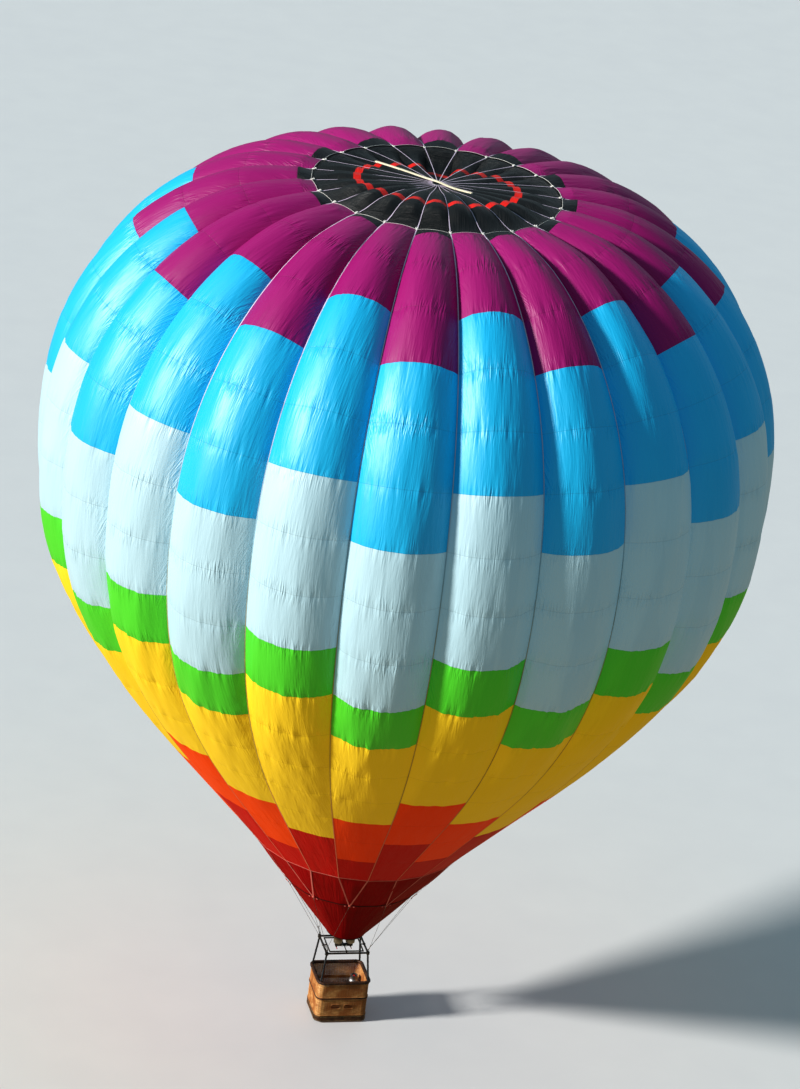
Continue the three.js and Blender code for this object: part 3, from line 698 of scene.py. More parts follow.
def lathe(form, profile, centre, sides=48, axis="Z", paint=0):
    """A closed profile of radius and height turned about an axis."""
    profile = np.asarray(profile, float)
    angle = np.arange(sides) * 360 / sides
    rings = polar(profile[None, :, 0], angle[:, None], profile[None, :, 1])
    if axis == "X":
        rings = rings[..., [2, 0, 1]]
    if axis == "Y":
        rings = rings[..., [1, 2, 0]]
    form.grid(rings + np.asarray(centre, float), round_across=True, round_along=True, paint=paint)


def plate(form, outline, hole, thickness, centre, side, top):
    """A flat plate with a hole in it. outline and hole have equally many points."""
    side, top = unit(side), unit(top)
    out = np.cross(side, top)
    edge = thickness * 0.2

    def ring(points, offset):
        return centre + points[:, :1] * side + points[:, 1:] * top + offset * out

    def towards(points, others, amount):
        return points + unit(others - points) * amount

    half = thickness / 2
    loops = [
        ring(towards(outline, hole, edge), half), ring(outline, half - edge), ring(outline, edge - half),
        ring(towards(outline, hole, edge), -half), ring(towards(hole, outline, edge), -half),
        ring(hole, edge - half), ring(hole, half - edge), ring(towards(hole, outline, edge), half),
    ]
    form.grid(np.array(loops), round_across=True, round_along=True)


def rounded_loop(length, width, corner, count):
    """Evenly spaced points round a level rectangle with rounded corners."""
    fine = rounded(length, width, corner, 24)
    far = lengths(np.column_stack([fine, np.zeros(len(fine))]), True)
    closed = np.concatenate([fine, fine[:1]])
    places = np.arange(count) * far[-1] / count
    return np.stack([np.interp(places, far, closed[:, part]) for part in (0, 1)], -1)


def at_height(loop, z):
    """A flat loop's points, at a height."""
    return np.column_stack([loop, np.full(len(loop), z)])


def ways_out(loop):
    """The level direction away from the middle at each point of a loop."""
    ahead = heading(at_height(loop, 0.0), True)
    return np.stack([ahead[:, 1], -ahead[:, 0], np.zeros(len(loop))], -1)


# Recipes for what repeats


class Recipe(Tree):
    """A Geometry Nodes tree with named inputs, whose result becomes a plain mesh."""

    SOCKETS = {int: "NodeSocketInt", float: "NodeSocketFloat"}

    def __init__(self, name, sizes):
        self.tree = bpy.data.node_groups.new(name, "GeometryNodeTree")
        face = self.tree.interface
        face.new_socket("Geometry", in_out="INPUT", socket_type="NodeSocketGeometry")
        for label, value in sizes.items():
            size = face.new_socket(label, in_out="INPUT", socket_type=self.SOCKETS[type(value)])
            size.default_value = value
        face.new_socket("Finish", in_out="INPUT", socket_type="NodeSocketMaterial")
        face.new_socket("Geometry", in_out="OUTPUT", socket_type="NodeSocketGeometry")
        self.start = Wire(self, self.tree.nodes.new("NodeGroupInput").outputs[0])

    def given(self, name):
        return self.start.out(name)

    def end(self, result):
        """Makes the copies real, gives them their finish, and closes the tree."""
        real = self.node("GeometryNodeRealizeInstances", None, {0: result})
        done = self.node("GeometryNodeSetMaterial", None, {0: real, "Material": self.given("Finish")})
        close = self.tree.nodes.new("NodeGroupOutput")
        self.feed(close.inputs[0], done)
        return self

    def run(self, piece, finish, **sizes):
        modifier = piece.modifiers.new("recipe", "NODES")
        modifier.node_group = self.tree
        named = {item.name: item.identifier for item in self.tree.interface.items_tree
                 if item.in_out == "INPUT"}
        modifier[named["Finish"]] = finish
        for label, value in sizes.items():
            modifier[named[label]] = value
        graph = bpy.context.evaluated_depsgraph_get()
        result = bpy.data.meshes.new_from_object(piece.evaluated_get(graph))
        piece.modifiers.clear()
        plain = piece.data
        piece.data = result
        bpy.data.meshes.remove(plain)
        result.name = piece.name
        return piece


def round_the_axis():
    """Copies of a form, turned in even steps about the balloon's axis."""
    recipe = Recipe("round_the_axis", {"Count": GORES})
    count = recipe.given("Count")
    line = recipe.node("GeometryNodeMeshLine", None, {"Count": count, "Offset": (0.0, 0.0, 0.0)})
    turn = recipe.node("GeometryNodeInputIndex") * (2 * math.pi) / count
    copies = recipe.node("GeometryNodeInstanceOnPoints", None, {
        "Points": line, "Instance": recipe.given("Geometry"), "Rotation": recipe.vector(0.0, 0.0, turn),
    })
    return recipe.end(copies)


def strands():
    """Round or flattened strands that follow the edges of a mesh."""
    recipe = Recipe("strands", {"Radius": 0.005, "Flatness": 1.0, "Sides": 6})
    line = recipe.node("GeometryNodeMeshToCurve", None, {"Mesh": recipe.given("Geometry")})
    upright = recipe.node("GeometryNodeSetCurveNormal", None, {"Curve": line})
    upright.socket.node.mode = "Z_UP"
    outline = recipe.node("GeometryNodeCurvePrimitiveCircle", None, {
        "Resolution": recipe.given("Sides"), "Radius": recipe.given("Radius"),
    })
    flat = recipe.node("GeometryNodeTransform", None, {
        "Geometry": outline, "Scale": recipe.vector(recipe.given("Flatness"), 1.0, 1.0),
    })
    body = recipe.node("GeometryNodeCurveToMesh", None, {
        "Curve": upright, "Profile Curve": flat, "Fill Caps": True,
    })
    return recipe.end(body)


def stitch_row():
    """Short rounded stitches, rivets or lacing set along the edges of a mesh."""
    recipe = Recipe("stitch_row", {"Spacing": 0.02, "Length": 0.006, "Thickness": 0.002})
    line = recipe.node("GeometryNodeMeshToCurve", None, {"Mesh": recipe.given("Geometry")})
    places = recipe.node("GeometryNodeCurveToPoints", {"mode": "LENGTH"}, {
        "Curve": line, "Length": recipe.given("Spacing"),
    })
    bead = recipe.node("GeometryNodeMeshIcoSphere", None, {"Radius": 1.0, "Subdivisions": 2})
    thick = recipe.given("Thickness")
    copies = recipe.node("GeometryNodeInstanceOnPoints", None, {
        "Points": places, "Instance": bead, "Rotation": places.out("Rotation"),
        "Scale": recipe.vector(thick, thick, recipe.given("Length")),
    })
    return recipe.end(copies)


def winding():
    """A round tube wound in a spiral."""
    recipe = Recipe("winding", {"Turns": 6.0, "Width": 0.107, "Height": 0.2, "Radius": 0.01})
    spiral = recipe.node("GeometryNodeCurveSpiral", None, {
        "Resolution": 32, "Rotations": recipe.given("Turns"), "Start Radius": recipe.given("Width"),
        "End Radius": recipe.given("Width"), "Height": recipe.given("Height"),
    })
    outline = recipe.node("GeometryNodeCurvePrimitiveCircle", None, {
        "Resolution": 10, "Radius": recipe.given("Radius"),
    })
    body = recipe.node("GeometryNodeCurveToMesh", None, {
        "Curve": spiral, "Profile Curve": outline, "Fill Caps": True,
    })
    return recipe.end(body)


AROUND = round_the_axis()
STRANDS = strands()
STITCHES = stitch_row()
WINDING = winding()


def lines(name, runs):
    """A mesh of edges only, from paths that are each open or closed."""
    points, edges, count = [], [], 0
    for path, closed in runs:
        size = len(path)
        points += np.asarray(path, float).tolist()
        edges += [(count + i, count + (i + 1) % size) for i in range(size if closed else size - 1)]
        count += size
    mesh = bpy.data.meshes.new(name)
    mesh.from_pydata(points, edges, [])
    return show(bpy.data.objects.new(name, mesh))


def stranded(name, runs, finish, sharp, slot, *nodes, **sizes):
    """Strands along some paths, as one piece."""
    piece = lines(name, runs)
    STRANDS.run(piece, finish, **sizes)
    soften(piece.data, sharp)
    return settle(piece, "root", slot, *nodes)


def copied_round(form, name, finish, sharp, azimuth, count):
    """A form turned to its first place and copied in even steps about the balloon's axis."""
    piece = form.make(name, [finish], sharp)
    piece.data.transform(Matrix.Rotation(math.radians(azimuth), 4, "Z"))
    AROUND.run(piece, finish, Count=count)
    soften(piece.data, sharp)
    return piece


# Levels of the envelope and of what hangs under it


def levels():
    """Radius, height and slope of the seam line at each level, from the vent's edge to the mouth."""
    length = PANEL * SHARE
    out = length * np.cos(np.radians(DROP))
    down = length * np.sin(np.radians(DROP))
    radius = WIDEST_RADIUS - out[:WIDEST_SEAM].sum() + np.concatenate([[0], np.cumsum(out)])
    z = down[:WIDEST_SEAM].sum() - np.concatenate([[0], np.cumsum(down)])
    slope = np.radians(np.concatenate([DROP[:1], (DROP[1:] + DROP[:-1]) / 2, DROP[-1:]]))
    return radius, z, slope


LEVEL_RADIUS, LEVEL_Z, LEVEL_SLOPE = levels()
LEVEL_BULGE = np.concatenate([[RIM_BULGE], BULGE])
VENT_RADIUS, VENT_Z = LEVEL_RADIUS[0], LEVEL_Z[0]
MOUTH_RADIUS, MOUTH_Z = LEVEL_RADIUS[-1], LEVEL_Z[-1]
MOUTH_SLOPE = LEVEL_SLOPE[-1]
SPLIT_Z = MOUTH_Z - SPLIT_DEPTH
SKIRT_Z = MOUTH_Z - SKIRT_DEPTH
FRAME_Z = MOUTH_Z - FRAME_DEPTH
FLOOR_Z = FRAME_Z - HEADROOM
BASKET_BOTTOM = FLOOR_Z - FLOOR_THICKNESS
STEP_Z = FLOOR_Z + STEP_RISE
BELT_Z = FLOOR_Z + BELT_RISE
WALL_TOP = FLOOR_Z + BASKET_HEIGHT
RIM_Z = WALL_TOP + SEAT_GAP + RIM_RADIUS * math.cos(math.pi / 8)
GROUND_Z = BASKET_BOTTOM - SEAT_GAP - SKID[2]


# Finishes in use


NYLONS = [
    ripstop("ripstop_nylon", 0.8),
    ripstop("soft_ripstop_nylon", 0.4),
    ripstop("matt_ripstop_nylon", 0.1),
]
VENT_NYLON = vent_cloth()
SKIRT_UPPER = skirt_cloth("skirt_cloth", srgb(176, 4, 16), srgb(138, 1, 6))
SKIRT_LOWER = skirt_cloth("skirt_cloth_deep", srgb(160, 2, 12), srgb(120, 0, 4))
TAPE = webbing("white_webbing", srgb(240, 238, 234))
# Painted bounce light: lilac at the crown, then blue, olive and salmon towards the mouth, the tints cast
# on the tapes by the gores beside them.
LOAD_TAPE = webbing("load_tape", srgb(222, 206, 228),
                    (srgb(240, 142, 114), srgb(196, 164, 84), srgb(150, 190, 206)))
CREAM_TAPE = webbing("cream_webbing", srgb(246, 234, 206))
ROSE_TAPE = webbing("rose_webbing", srgb(216, 116, 108))
DARK_TAPE = webbing("dark_webbing", srgb(60, 4, 8))
BLACK_TAPE = webbing("black_webbing", srgb(32, 32, 34))
STEEL = metal("frame_steel", srgb(104, 102, 100), srgb(64, 60, 58))
FITTINGS = metal("bright_fittings", srgb(186, 188, 190), srgb(130, 130, 128))
CABLE = metal("steel_cable", srgb(150, 152, 154), srgb(96, 96, 96), 0.35, (60.0, 60.0, 60.0))
ALUMINIUM = metal("brushed_aluminium", srgb(206, 208, 210), srgb(168, 170, 172), 0.32, (1.0, 1.0, 26.0))
BRASS = metal("brass", srgb(196, 158, 88), srgb(128, 96, 54), 0.28, (8.0, 8.0, 8.0))
HOT_STEEL = heated_steel()
CANE = cane()
HIDE = leather("brown_leather", srgb(92, 58, 38), srgb(50, 29, 19))
BLACK_HIDE = leather("black_leather", srgb(44, 40, 38), srgb(20, 18, 18), 120.0)
PLY = timber("plywood", srgb(206, 168, 112), srgb(150, 104, 58))
ASH = timber("ash_runner", srgb(124, 96, 66), srgb(70, 50, 32))
GRIP = rubber("red_grip", srgb(150, 16, 16))
PADDING = rubber("black_padding", srgb(24, 24, 27))
DIAL_FACE = rubber("dial_face", srgb(224, 224, 216))
THREAD = rubber("waxed_thread", srgb(196, 168, 120))


# Envelope


def along_seam(level):
    """Radius, height, slope and bulge at any level, on a smooth curve through the seams."""
    level = np.asarray(level, float)
    row = np.clip(level.astype(int), 0, MOUTH - 1)
    share = level - row
    length = PANEL * SHARE[row]
    from_start = 2 * share**3 - 3 * share**2 + 1
    start_pull = share**3 - 2 * share**2 + share
    end_pull = share**3 - share**2
    start_rate = 3 * share**2 - 4 * share + 1
    end_rate = 3 * share**2 - 2 * share
    run = []
    for values, way in ((LEVEL_RADIUS, np.cos(LEVEL_SLOPE)), (LEVEL_Z, -np.sin(LEVEL_SLOPE))):
        place = (from_start * values[row] + (1 - from_start) * values[row + 1]
                 + length * (start_pull * way[row] + end_pull * way[row + 1]))
        rate = ((6 * share**2 - 6 * share) * (values[row] - values[row + 1])
                + length * (start_rate * way[row] + end_rate * way[row + 1]))
        run.append((place, rate))
    (radius, out), (z, down) = run
    trend = np.gradient(LEVEL_BULGE)
    bulge = (from_start * LEVEL_BULGE[row] + (1 - from_start) * LEVEL_BULGE[row + 1]
             + start_pull * trend[row] + end_pull * trend[row + 1])
    return radius, z, np.arctan2(-down, out), np.maximum(bulge, 1e-4)


def outward(slope, degrees):
    """The direction out of the envelope where the seam line has this slope."""
    return polar(np.sin(slope), degrees, np.cos(slope))


def lobe(level):
    """Arc radius, half angle and chord of a gore's cross-section at a level."""
    radius, _, _, rise = along_seam(level)
    chord = 2 * radius * math.sin(HALF_GORE) - SEAM_GAP
    arc = (chord**2 / 4 + rise**2) / (2 * rise)
    return arc, np.arcsin(chord / 2 / arc), chord


def level_steps():
    """The levels at which a gore has a row of points."""
    steps = [row + step for row in range(MOUTH)
             for step in (PANEL_STEPS if SHARE[row] == 1 else SHORT_PANEL_STEPS)]
    return np.array([*steps, MOUTH], float)


def folds(number, level, metres, share):
    """How far the cloth stands off its smooth lobe, from puckers at the seams and soft folds.

    The folds are deepest under the widest part, where the cloth isn't yet stretched tight.
    """
    pick = np.random.default_rng(400 + number)
    row = np.clip(level.astype(int), 0, MOUTH - 1)
    part = level - row
    from_seam = np.minimum(part, 1 - part) * PANEL * SHARE[row]
    along = level * PANEL
    from_edge = (1 - np.abs(share)) * np.abs(metres).max(axis=1, keepdims=True)
    loose = smooth(12.6, 10.2, level)

    def ripples(sizes, tilt, depth, reach):
        """Waves across the gore that start anew at each seam and die away from it."""
        total = np.zeros_like(metres)
        for size in sizes:
            turn, lean = pick.uniform(0, 6.28), pick.uniform(-tilt, tilt)
            phase = pick.uniform(0, 6.28, MOUTH + 1)[np.rint(level).astype(int)]
            total += np.sin(2 * np.pi * (metres + lean * along) / size + turn + phase)
        return depth * total * np.exp(-from_seam / reach)

    lift = ripples((0.34, 0.47, 0.66), 0.5, 0.0045, 0.30)
    lift -= 0.009 * (0.3 + 0.7 * loose) * np.exp(-((from_seam / 0.08) ** 2))
    for _ in range(4):
        size, lean, turn = pick.uniform(0.8, 1.5), pick.uniform(-0.35, 0.35), pick.uniform(0, 6.28)
        lift += 0.0042 * np.sin(2 * np.pi * (metres + lean * along) / size + turn)
    for side in (-1, 1):
        size, turn = pick.uniform(0.42, 0.62), pick.uniform(0, 6.28)
        near = np.exp(-from_edge / 0.20) * (np.sign(share) == side)
        swell = 0.6 + 0.4 * np.sin(along / 1.9 + turn)
        lift += 0.013 * near * swell * np.sin(2 * np.pi * (along + 0.7 * side * metres) / size + turn)
    lift += ripples((0.125, 0.165, 0.225), 0.12, 0.0030, 0.26) * loose
    full = smooth(0, 1.5, level) * (0.35 + 0.65 * smooth(15.5, 11.5, level))
    full *= 1 + 0.9 * np.exp(-(((level - 10.8) / 1.7) ** 2))
    return lift * full * (1 - np.abs(share) ** 6)


def dye_of(number, row):
    """The colour of a gore's panel. row counts from 1 at the vent."""
    kind = 0 if number % 2 else (1 if number % 4 == 2 else 2)
    return next(name for name, lowest in PATTERNS[kind] if row <= lowest)


def gore(number):
    """One gore: outer and inner face on a bulging arc between two seams, closed along its edges."""
    centre = FIRST_GORE + (number - 1) * GORE_ANGLE
    level = level_steps()
    radius, z, slope, rise = along_seam(level)
    arc, half, _ = lobe(level)
    share = np.linspace(-1, 1, GORE_COLUMNS + 1)
    turn = half[:, None] * share
    metres = arc[:, None] * turn
    side = polar(1, centre + 90, 0)
    out = outward(slope, centre)[:, None]
    middle = polar(radius * math.cos(HALF_GORE), centre, z)[:, None]
    lean = np.cos(turn)[..., None] * out + np.sin(turn)[..., None] * side
    height = arc[:, None] * np.cos(turn) - (arc - rise)[:, None]
    outer = middle + (arc[:, None] * np.sin(turn))[..., None] * side + height[..., None] * out
    outer = outer + folds(number, level[:, None], metres, share)[..., None] * lean
    inner = outer - SHELL * lean
    for column, edge in ((0, -1), (-1, 1)):
        inner[:, column] = outer[:, column] - SHELL * outward(slope, centre + edge * GORE_ANGLE / 2)
    widths = 2 * arc * half
    columns = GORE_COLUMNS + 1
    around = np.concatenate([(share + 1) / 2, (1 - share) / 2, [0]])
    last = (len(level) - 1) * 2 * columns
    ends = [(base + i, base + i + 1, base + 2 * columns - 2 - i, base + 2 * columns - 1 - i)
            for base in (0, last) for i in range(GORE_COLUMNS)]
    form = Form()
    form.grid(np.concatenate([outer, inner[:, ::-1]], 1), around, level, True, False, ends)
    piece = form.make(f"envelope_gore_{number:02d}", NYLONS)
    dress(piece.data, number, widths, level)
    settle(piece, "root", "envelope_fabric", f"gore_{number:02d}")
    strip = np.diff(level) * PANEL * SHARE[np.clip(level[:-1].astype(int), 0, MOUTH - 1)]
    area = float((strip * (widths[1:] + widths[:-1]) / 2).sum())
    return piece


def dress(mesh, number, widths, level):
    """Gives a gore's panels their dye and sheen, and the widths that its finish reads."""
    loops = np.zeros(len(mesh.loops) * 2, np.float32)
    mesh.uv_layers["map"].data.foreach_get("uv", loops)
    heights = loops.reshape(-1, 2)[:, 1]
    starts = np.zeros(len(mesh.polygons), int)
    sizes = np.zeros(len(mesh.polygons), int)
    mesh.polygons.foreach_get("loop_start", starts)
    mesh.polygons.foreach_get("loop_total", sizes)
    middles = np.add.reduceat(heights, starts) / sizes
    rows = np.clip(middles.astype(int), 0, MOUTH - 1) + 1
    names = [dye_of(number, row) for row in range(1, MOUTH + 1)]
    paints = np.array([DYES[name] for name in names])
    sheens = np.array([SHEENS[name] for name in names], np.int32)
    mesh.polygons.foreach_set("material_index", sheens[rows - 1])
    colours = np.repeat(paints[rows - 1], sizes, axis=0)
    mesh.color_attributes.new("dye", "FLOAT_COLOR", "CORNER").data.foreach_set("color", colours.ravel())
    wide = np.interp(heights, level, widths)
    mesh.attributes.new("width", "FLOAT", "CORNER").data.foreach_set("value", wide.astype(np.float32))
    lots = np.full(len(heights), number * 3.7, np.float32)
    mesh.attributes.new("lot", "FLOAT", "CORNER").data.foreach_set("value", lots)


for gore_number in range(1, GORES + 1):
    gore(gore_number)


# Load tapes and crown


FIRST_SEAM = FIRST_GORE + GORE_ANGLE / 2


def crown_height(radius):
    return VENT_Z + CROWN_RISE * (1 - (radius / VENT_RADIUS) ** 2)


RING_Z = crown_height(HUB_RADIUS) + 0.006


def crown_lift(radius, degrees):
    """How far the crown's tapes and cloth stand up on the side opposite the slack one."""
    towards = np.cos(np.radians(degrees - SLACK_SIDE))
    return PUFF * np.maximum(-towards, 0) ** 1.5 * smooth(0.25, 1.6, radius) * smooth(2.98, 2.1, radius)


def valley_lift(level):
    """How far a tape stands off the bottom of the valley that it bridges."""
    _, half, _ = lobe(level)
    _, _, slope, _ = along_seam(level)
    rise = half - HALF_GORE * np.sin(slope)
    return 0.002 + TAPE_WIDTH / 2 * np.tan(np.maximum(rise, 0)) * 0.96


def tape_path():
    """The line of a load tape: round the crown ring, over the vent, and down the seam to the mouth."""
    turn = np.radians(np.linspace(-90, -270, 9))
    wrap = RING_TUBE + TAPE_THICKNESS / 2 + 0.001
    loop = np.stack([RING_RADIUS + wrap * np.cos(turn), RING_Z + wrap * np.sin(turn)], -1)
    under = np.array([(HUB_RADIUS + 0.03, RING_Z - 0.008)])
    radius = np.concatenate([[HUB_RADIUS + 0.01], np.linspace(0.4, VENT_RADIUS - 0.12, 12)])
    over = np.stack([radius, crown_height(radius) + 0.003], -1)
    level = np.arange(0, MOUTH + 0.01, 1 / 6)
    seam_radius, seam_z, slope, _ = along_seam(level)
    lift = valley_lift(level)
    seam = np.stack([seam_radius + np.sin(slope) * lift, seam_z + np.cos(slope) * lift], -1)
    flat = np.concatenate([under, loop, over, seam])
    return np.stack([flat[:, 0], np.zeros(len(flat)), flat[:, 1]], -1)


def ribbon(width, thickness):
    """A tape's section, a little thicker in the middle than at its edges."""
    outline = np.array([(-1, -0.5), (0, -1), (1, -0.5), (1, 0.5), (0.5, 1), (-0.5, 1), (-1, 0.5)])
    return outline * (width / 2, thickness / 2)


def load_tapes():
    """All load tapes as one net: one is swept along its path and copied round."""
    path = tape_path()
    room = 2 * path[:, 0] * math.tan(HALF_GORE) * 0.92
    widths = TAPE_WIDTH - 0.006 * smooth(7.0, 4.0, path[:, 2]) - 0.009 * smooth(2.9, 2.5, path[:, 0])
    widths = np.minimum(widths, room)
    sections = np.array([ribbon(width, TAPE_THICKNESS) for width in widths])
    ahead = heading(path)
    out = np.cross(ahead, (0, 1, 0))
    form = Form()
    sweep(form, path, sections, -out)
    tape = copied_round(form, "load_tape_net", LOAD_TAPE, 60, FIRST_SEAM, GORES)
    points = np.zeros(len(tape.data.vertices) * 3)
    tape.data.vertices.foreach_get("co", points)
    x, y, _ = points.reshape(-1, 3).T
    points[2::3] += crown_lift(np.hypot(x, y), np.degrees(np.arctan2(y, x))) * (points[2::3] > VENT_Z)
    tape.data.vertices.foreach_set("co", points)
    soften(tape.data, 60)
    return settle(tape, "root", "webbing", "load_tapes")


def crown_ring():
    """The ring that all load tapes run round."""
    form = Form()
    turn = np.arange(96) * 360 / 96
    tube(form, polar(RING_RADIUS, turn, RING_Z), RING_TUBE, 14, closed=True)
    ring = form.make("crown_ring_forged", [ALUMINIUM])
    return settle(ring, "root", "aluminium", "crown_ring")


def rim_path(lift, inset=0.0):
    """A line along the gores' top edges, all the way round the vent."""
    level = np.zeros(1)
    arc, half, _ = lobe(level)
    _, _, slope, rise = along_seam(level)
    points = []
    for number in range(GORES):
        centre = FIRST_GORE + number * GORE_ANGLE
        turn = half[0] * np.linspace(-1, 1, 11)[:-1]
        side = polar(1, centre + 90, 0)
        out = outward(slope[0], centre)
        middle = polar(VENT_RADIUS * math.cos(HALF_GORE) - inset, centre, VENT_Z)
        height = arc[0] * np.cos(turn) - (arc[0] - rise[0]) + lift
        points.append(middle + (arc[0] * np.sin(turn))[:, None] * side + height[:, None] * out)
    return np.concatenate(points)


def vent_rim():
    """A band and a rope along the gores' top edges."""
    form = Form()
    sweep(form, rim_path(-0.001, 0.006), ribbon(0.030, 0.005), (0, 0, 1), closed=True)
    tube(form, rim_path(0.007, -0.004), 0.0045, 8, closed=True, paint=1)
    rim = form.make("vent_rim_rope", [BLACK_TAPE, TAPE], 60)
    return settle(rim, "root", "webbing", "vent_hem")


def rim_toggles():
    """A knotted tab where each load tape crosses the vent's rim."""
    form = Form()
    z = crown_height(VENT_RADIUS - 0.03) + 0.004
    place = np.array([VENT_RADIUS - 0.03, 0, z])
    bar(form, place + (-0.055, 0, 0.012), place + (0.065, 0, 0.006), 0.050, 0.016, 0.007)
    turn = turns(16)
    knot = np.stack([0.030 * np.cos(turn), 0.034 * np.sin(turn), 0.010 * np.sin(2 * turn)], -1)
    tube(form, place + (-0.01, 0, 0.026) + knot, 0.009, 8, closed=True)
    tabs = copied_round(form, "rim_tabs", TAPE, 50, FIRST_SEAM, GORES)
    return settle(tabs, "root", "webbing")


def over_crown(reach, lift):
    """Points on the strap's line over the crown ring. reach is below 0 on the ring's near side."""
    radius = np.abs(reach)
    azimuth = np.where(np.less(reach, 0), STRAP_AZIMUTH - 180, STRAP_AZIMUTH)
    return polar(radius, azimuth, crown_height(radius) + crown_lift(radius, azimuth) + lift)


def crown_strap():
    """A stout strap over the crown, from one side of the ring to the other, held by four keepers."""
    form = Form()
    reach = np.linspace(-1.06, 1.98, 33)
    line = over_crown(reach, 0.030 + 0.018 * np.exp(-((reach / 0.3) ** 2)))
    sweep(form, line, rounded(0.080, 0.030, 0.013), (0, 0, 1))
    side = 0.055 * polar(1, STRAP_AZIMUTH - 90, 0)
    for keeper in (-0.98, 1.90, -0.55, 1.2):
        spot = over_crown(keeper, 0.028)
        bar(form, spot - side, spot + side, 0.050, 0.038, 0.014)
    strap = form.make("crown_strap", [CREAM_TAPE], 50)
    return settle(strap, "root", "webbing")


load_tapes()
crown_ring()
vent_rim()
rim_toggles()
crown_strap()


def parachute_vent():
    """The round vent panel, pressed up against the tapes and swelling between them."""
    per_gore = 12
    edge = VENT_RADIUS + VENT_OVERLAP
    rings = np.concatenate([[0.0, 0.06, 0.14, 0.25, 0.4], np.linspace(0.55, 2.95, 25),
                            [3.02, 3.07, 3.12, 3.17, edge]])
    around = np.arange(GORES * per_gore) / per_gore
    place = np.abs(2 * (around % 1) - 1)
    base = VENT_Z - VENT_OVERLAP * math.tan(math.radians(DROP[0])) - SHELL - VENT_GAP
    pick = np.random.default_rng(31)
    swell = pick.uniform(0.75, 1.2, GORES)[np.floor(around).astype(int) % GORES]
    chord = rings * math.radians(GORE_ANGLE)
    free = 0.22 * chord * smooth(0.1, 0.6, rings) * (1 - smooth(2.35, 3.03, rings))
    held = (RIM_BULGE - 0.006) * smooth(2.6, 3.03, rings) * (1 - 0.4 * smooth(3.05, edge, rings))
    degrees = FIRST_SEAM + around * GORE_ANGLE
    towards = np.cos(np.radians(degrees - SLACK_SIDE))
    lift = (free[:, None] * swell + held[:, None]) * (1 - place**2) + crown_lift(rings[:, None], degrees)
    ripples = 0.006 * np.sin(around * 2 * math.pi * 3 + 1.3) * smooth(1.0, 2.4, rings)[:, None]
    ripples *= (1 - smooth(2.8, 3.0, rings))[:, None] * (1 - place**4)
    height = base + VENT_DOME * (1 - (rings / edge) ** 2)
    fold = FOLD * np.exp(-(((degrees - SLACK_SIDE + 180) % 360 - 180) / 9) ** 2)
    loose = smooth(0.2, 1.5, rings) * smooth(3.0, 2.3, rings)
    sag = (SLACK * np.maximum(towards, 0) ** 1.5 + fold) * loose[:, None]
    z = height[:, None] + lift + ripples - sag
    top = polar(rings[:, None], degrees, z)
    under = top - (0, 0, 0.006)
    both = np.concatenate([under, top[::-1]])
    along = np.concatenate([rings, rings[::-1], rings[:1]])
    form = Form()
    form.grid(both, np.arange(GORES * per_gore + 1) / per_gore, along, True, True)
    vent = form.make("vent_panel", [VENT_NYLON])
    settle(vent, "vent", "vent_fabric", "parachute_vent")
    return (vent, 2 * edge, 2 * edge, math.pi * edge**2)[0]


parachute_vent()


# Mouth and skirt


def on_mouth(down, out):
    """Radius and height of a point near the mouth, down the cone from it and out of it."""
    return (MOUTH_RADIUS + down * math.cos(MOUTH_SLOPE) + out * math.sin(MOUTH_SLOPE),
            MOUTH_Z - down * math.sin(MOUTH_SLOPE) + out * math.cos(MOUTH_SLOPE))


def seam_polygon(radius, z, per_gore=6):
    """Points round a ring whose corners are on the seams and whose sides are straight."""
    around = np.arange(GORES * per_gore) / per_gore
    offset = np.radians((around % 1 - 0.5) * GORE_ANGLE)
    straight = math.cos(HALF_GORE) / np.cos(offset)
    return polar(radius * straight, FIRST_SEAM + around * GORE_ANGLE, z)


def mouth_tape():
    """A doubled tape round the mouth."""
    corners = [on_mouth(0.012, 0.0015), on_mouth(0.012, 0.006), on_mouth(-0.010, 0.0085),
               on_mouth(-0.032, 0.006), on_mouth(-0.032, 0.0015)]
    rings = np.stack([seam_polygon(radius, z) for radius, z in corners], 1)
    form = Form()
    far = lengths(seam_polygon(MOUTH_RADIUS, MOUTH_Z), True)
    form.hoop(rings, far)
    tape = form.make("mouth_tape", [ROSE_TAPE], 60)
    return settle(tape, "root", "webbing", "mouth_hem")


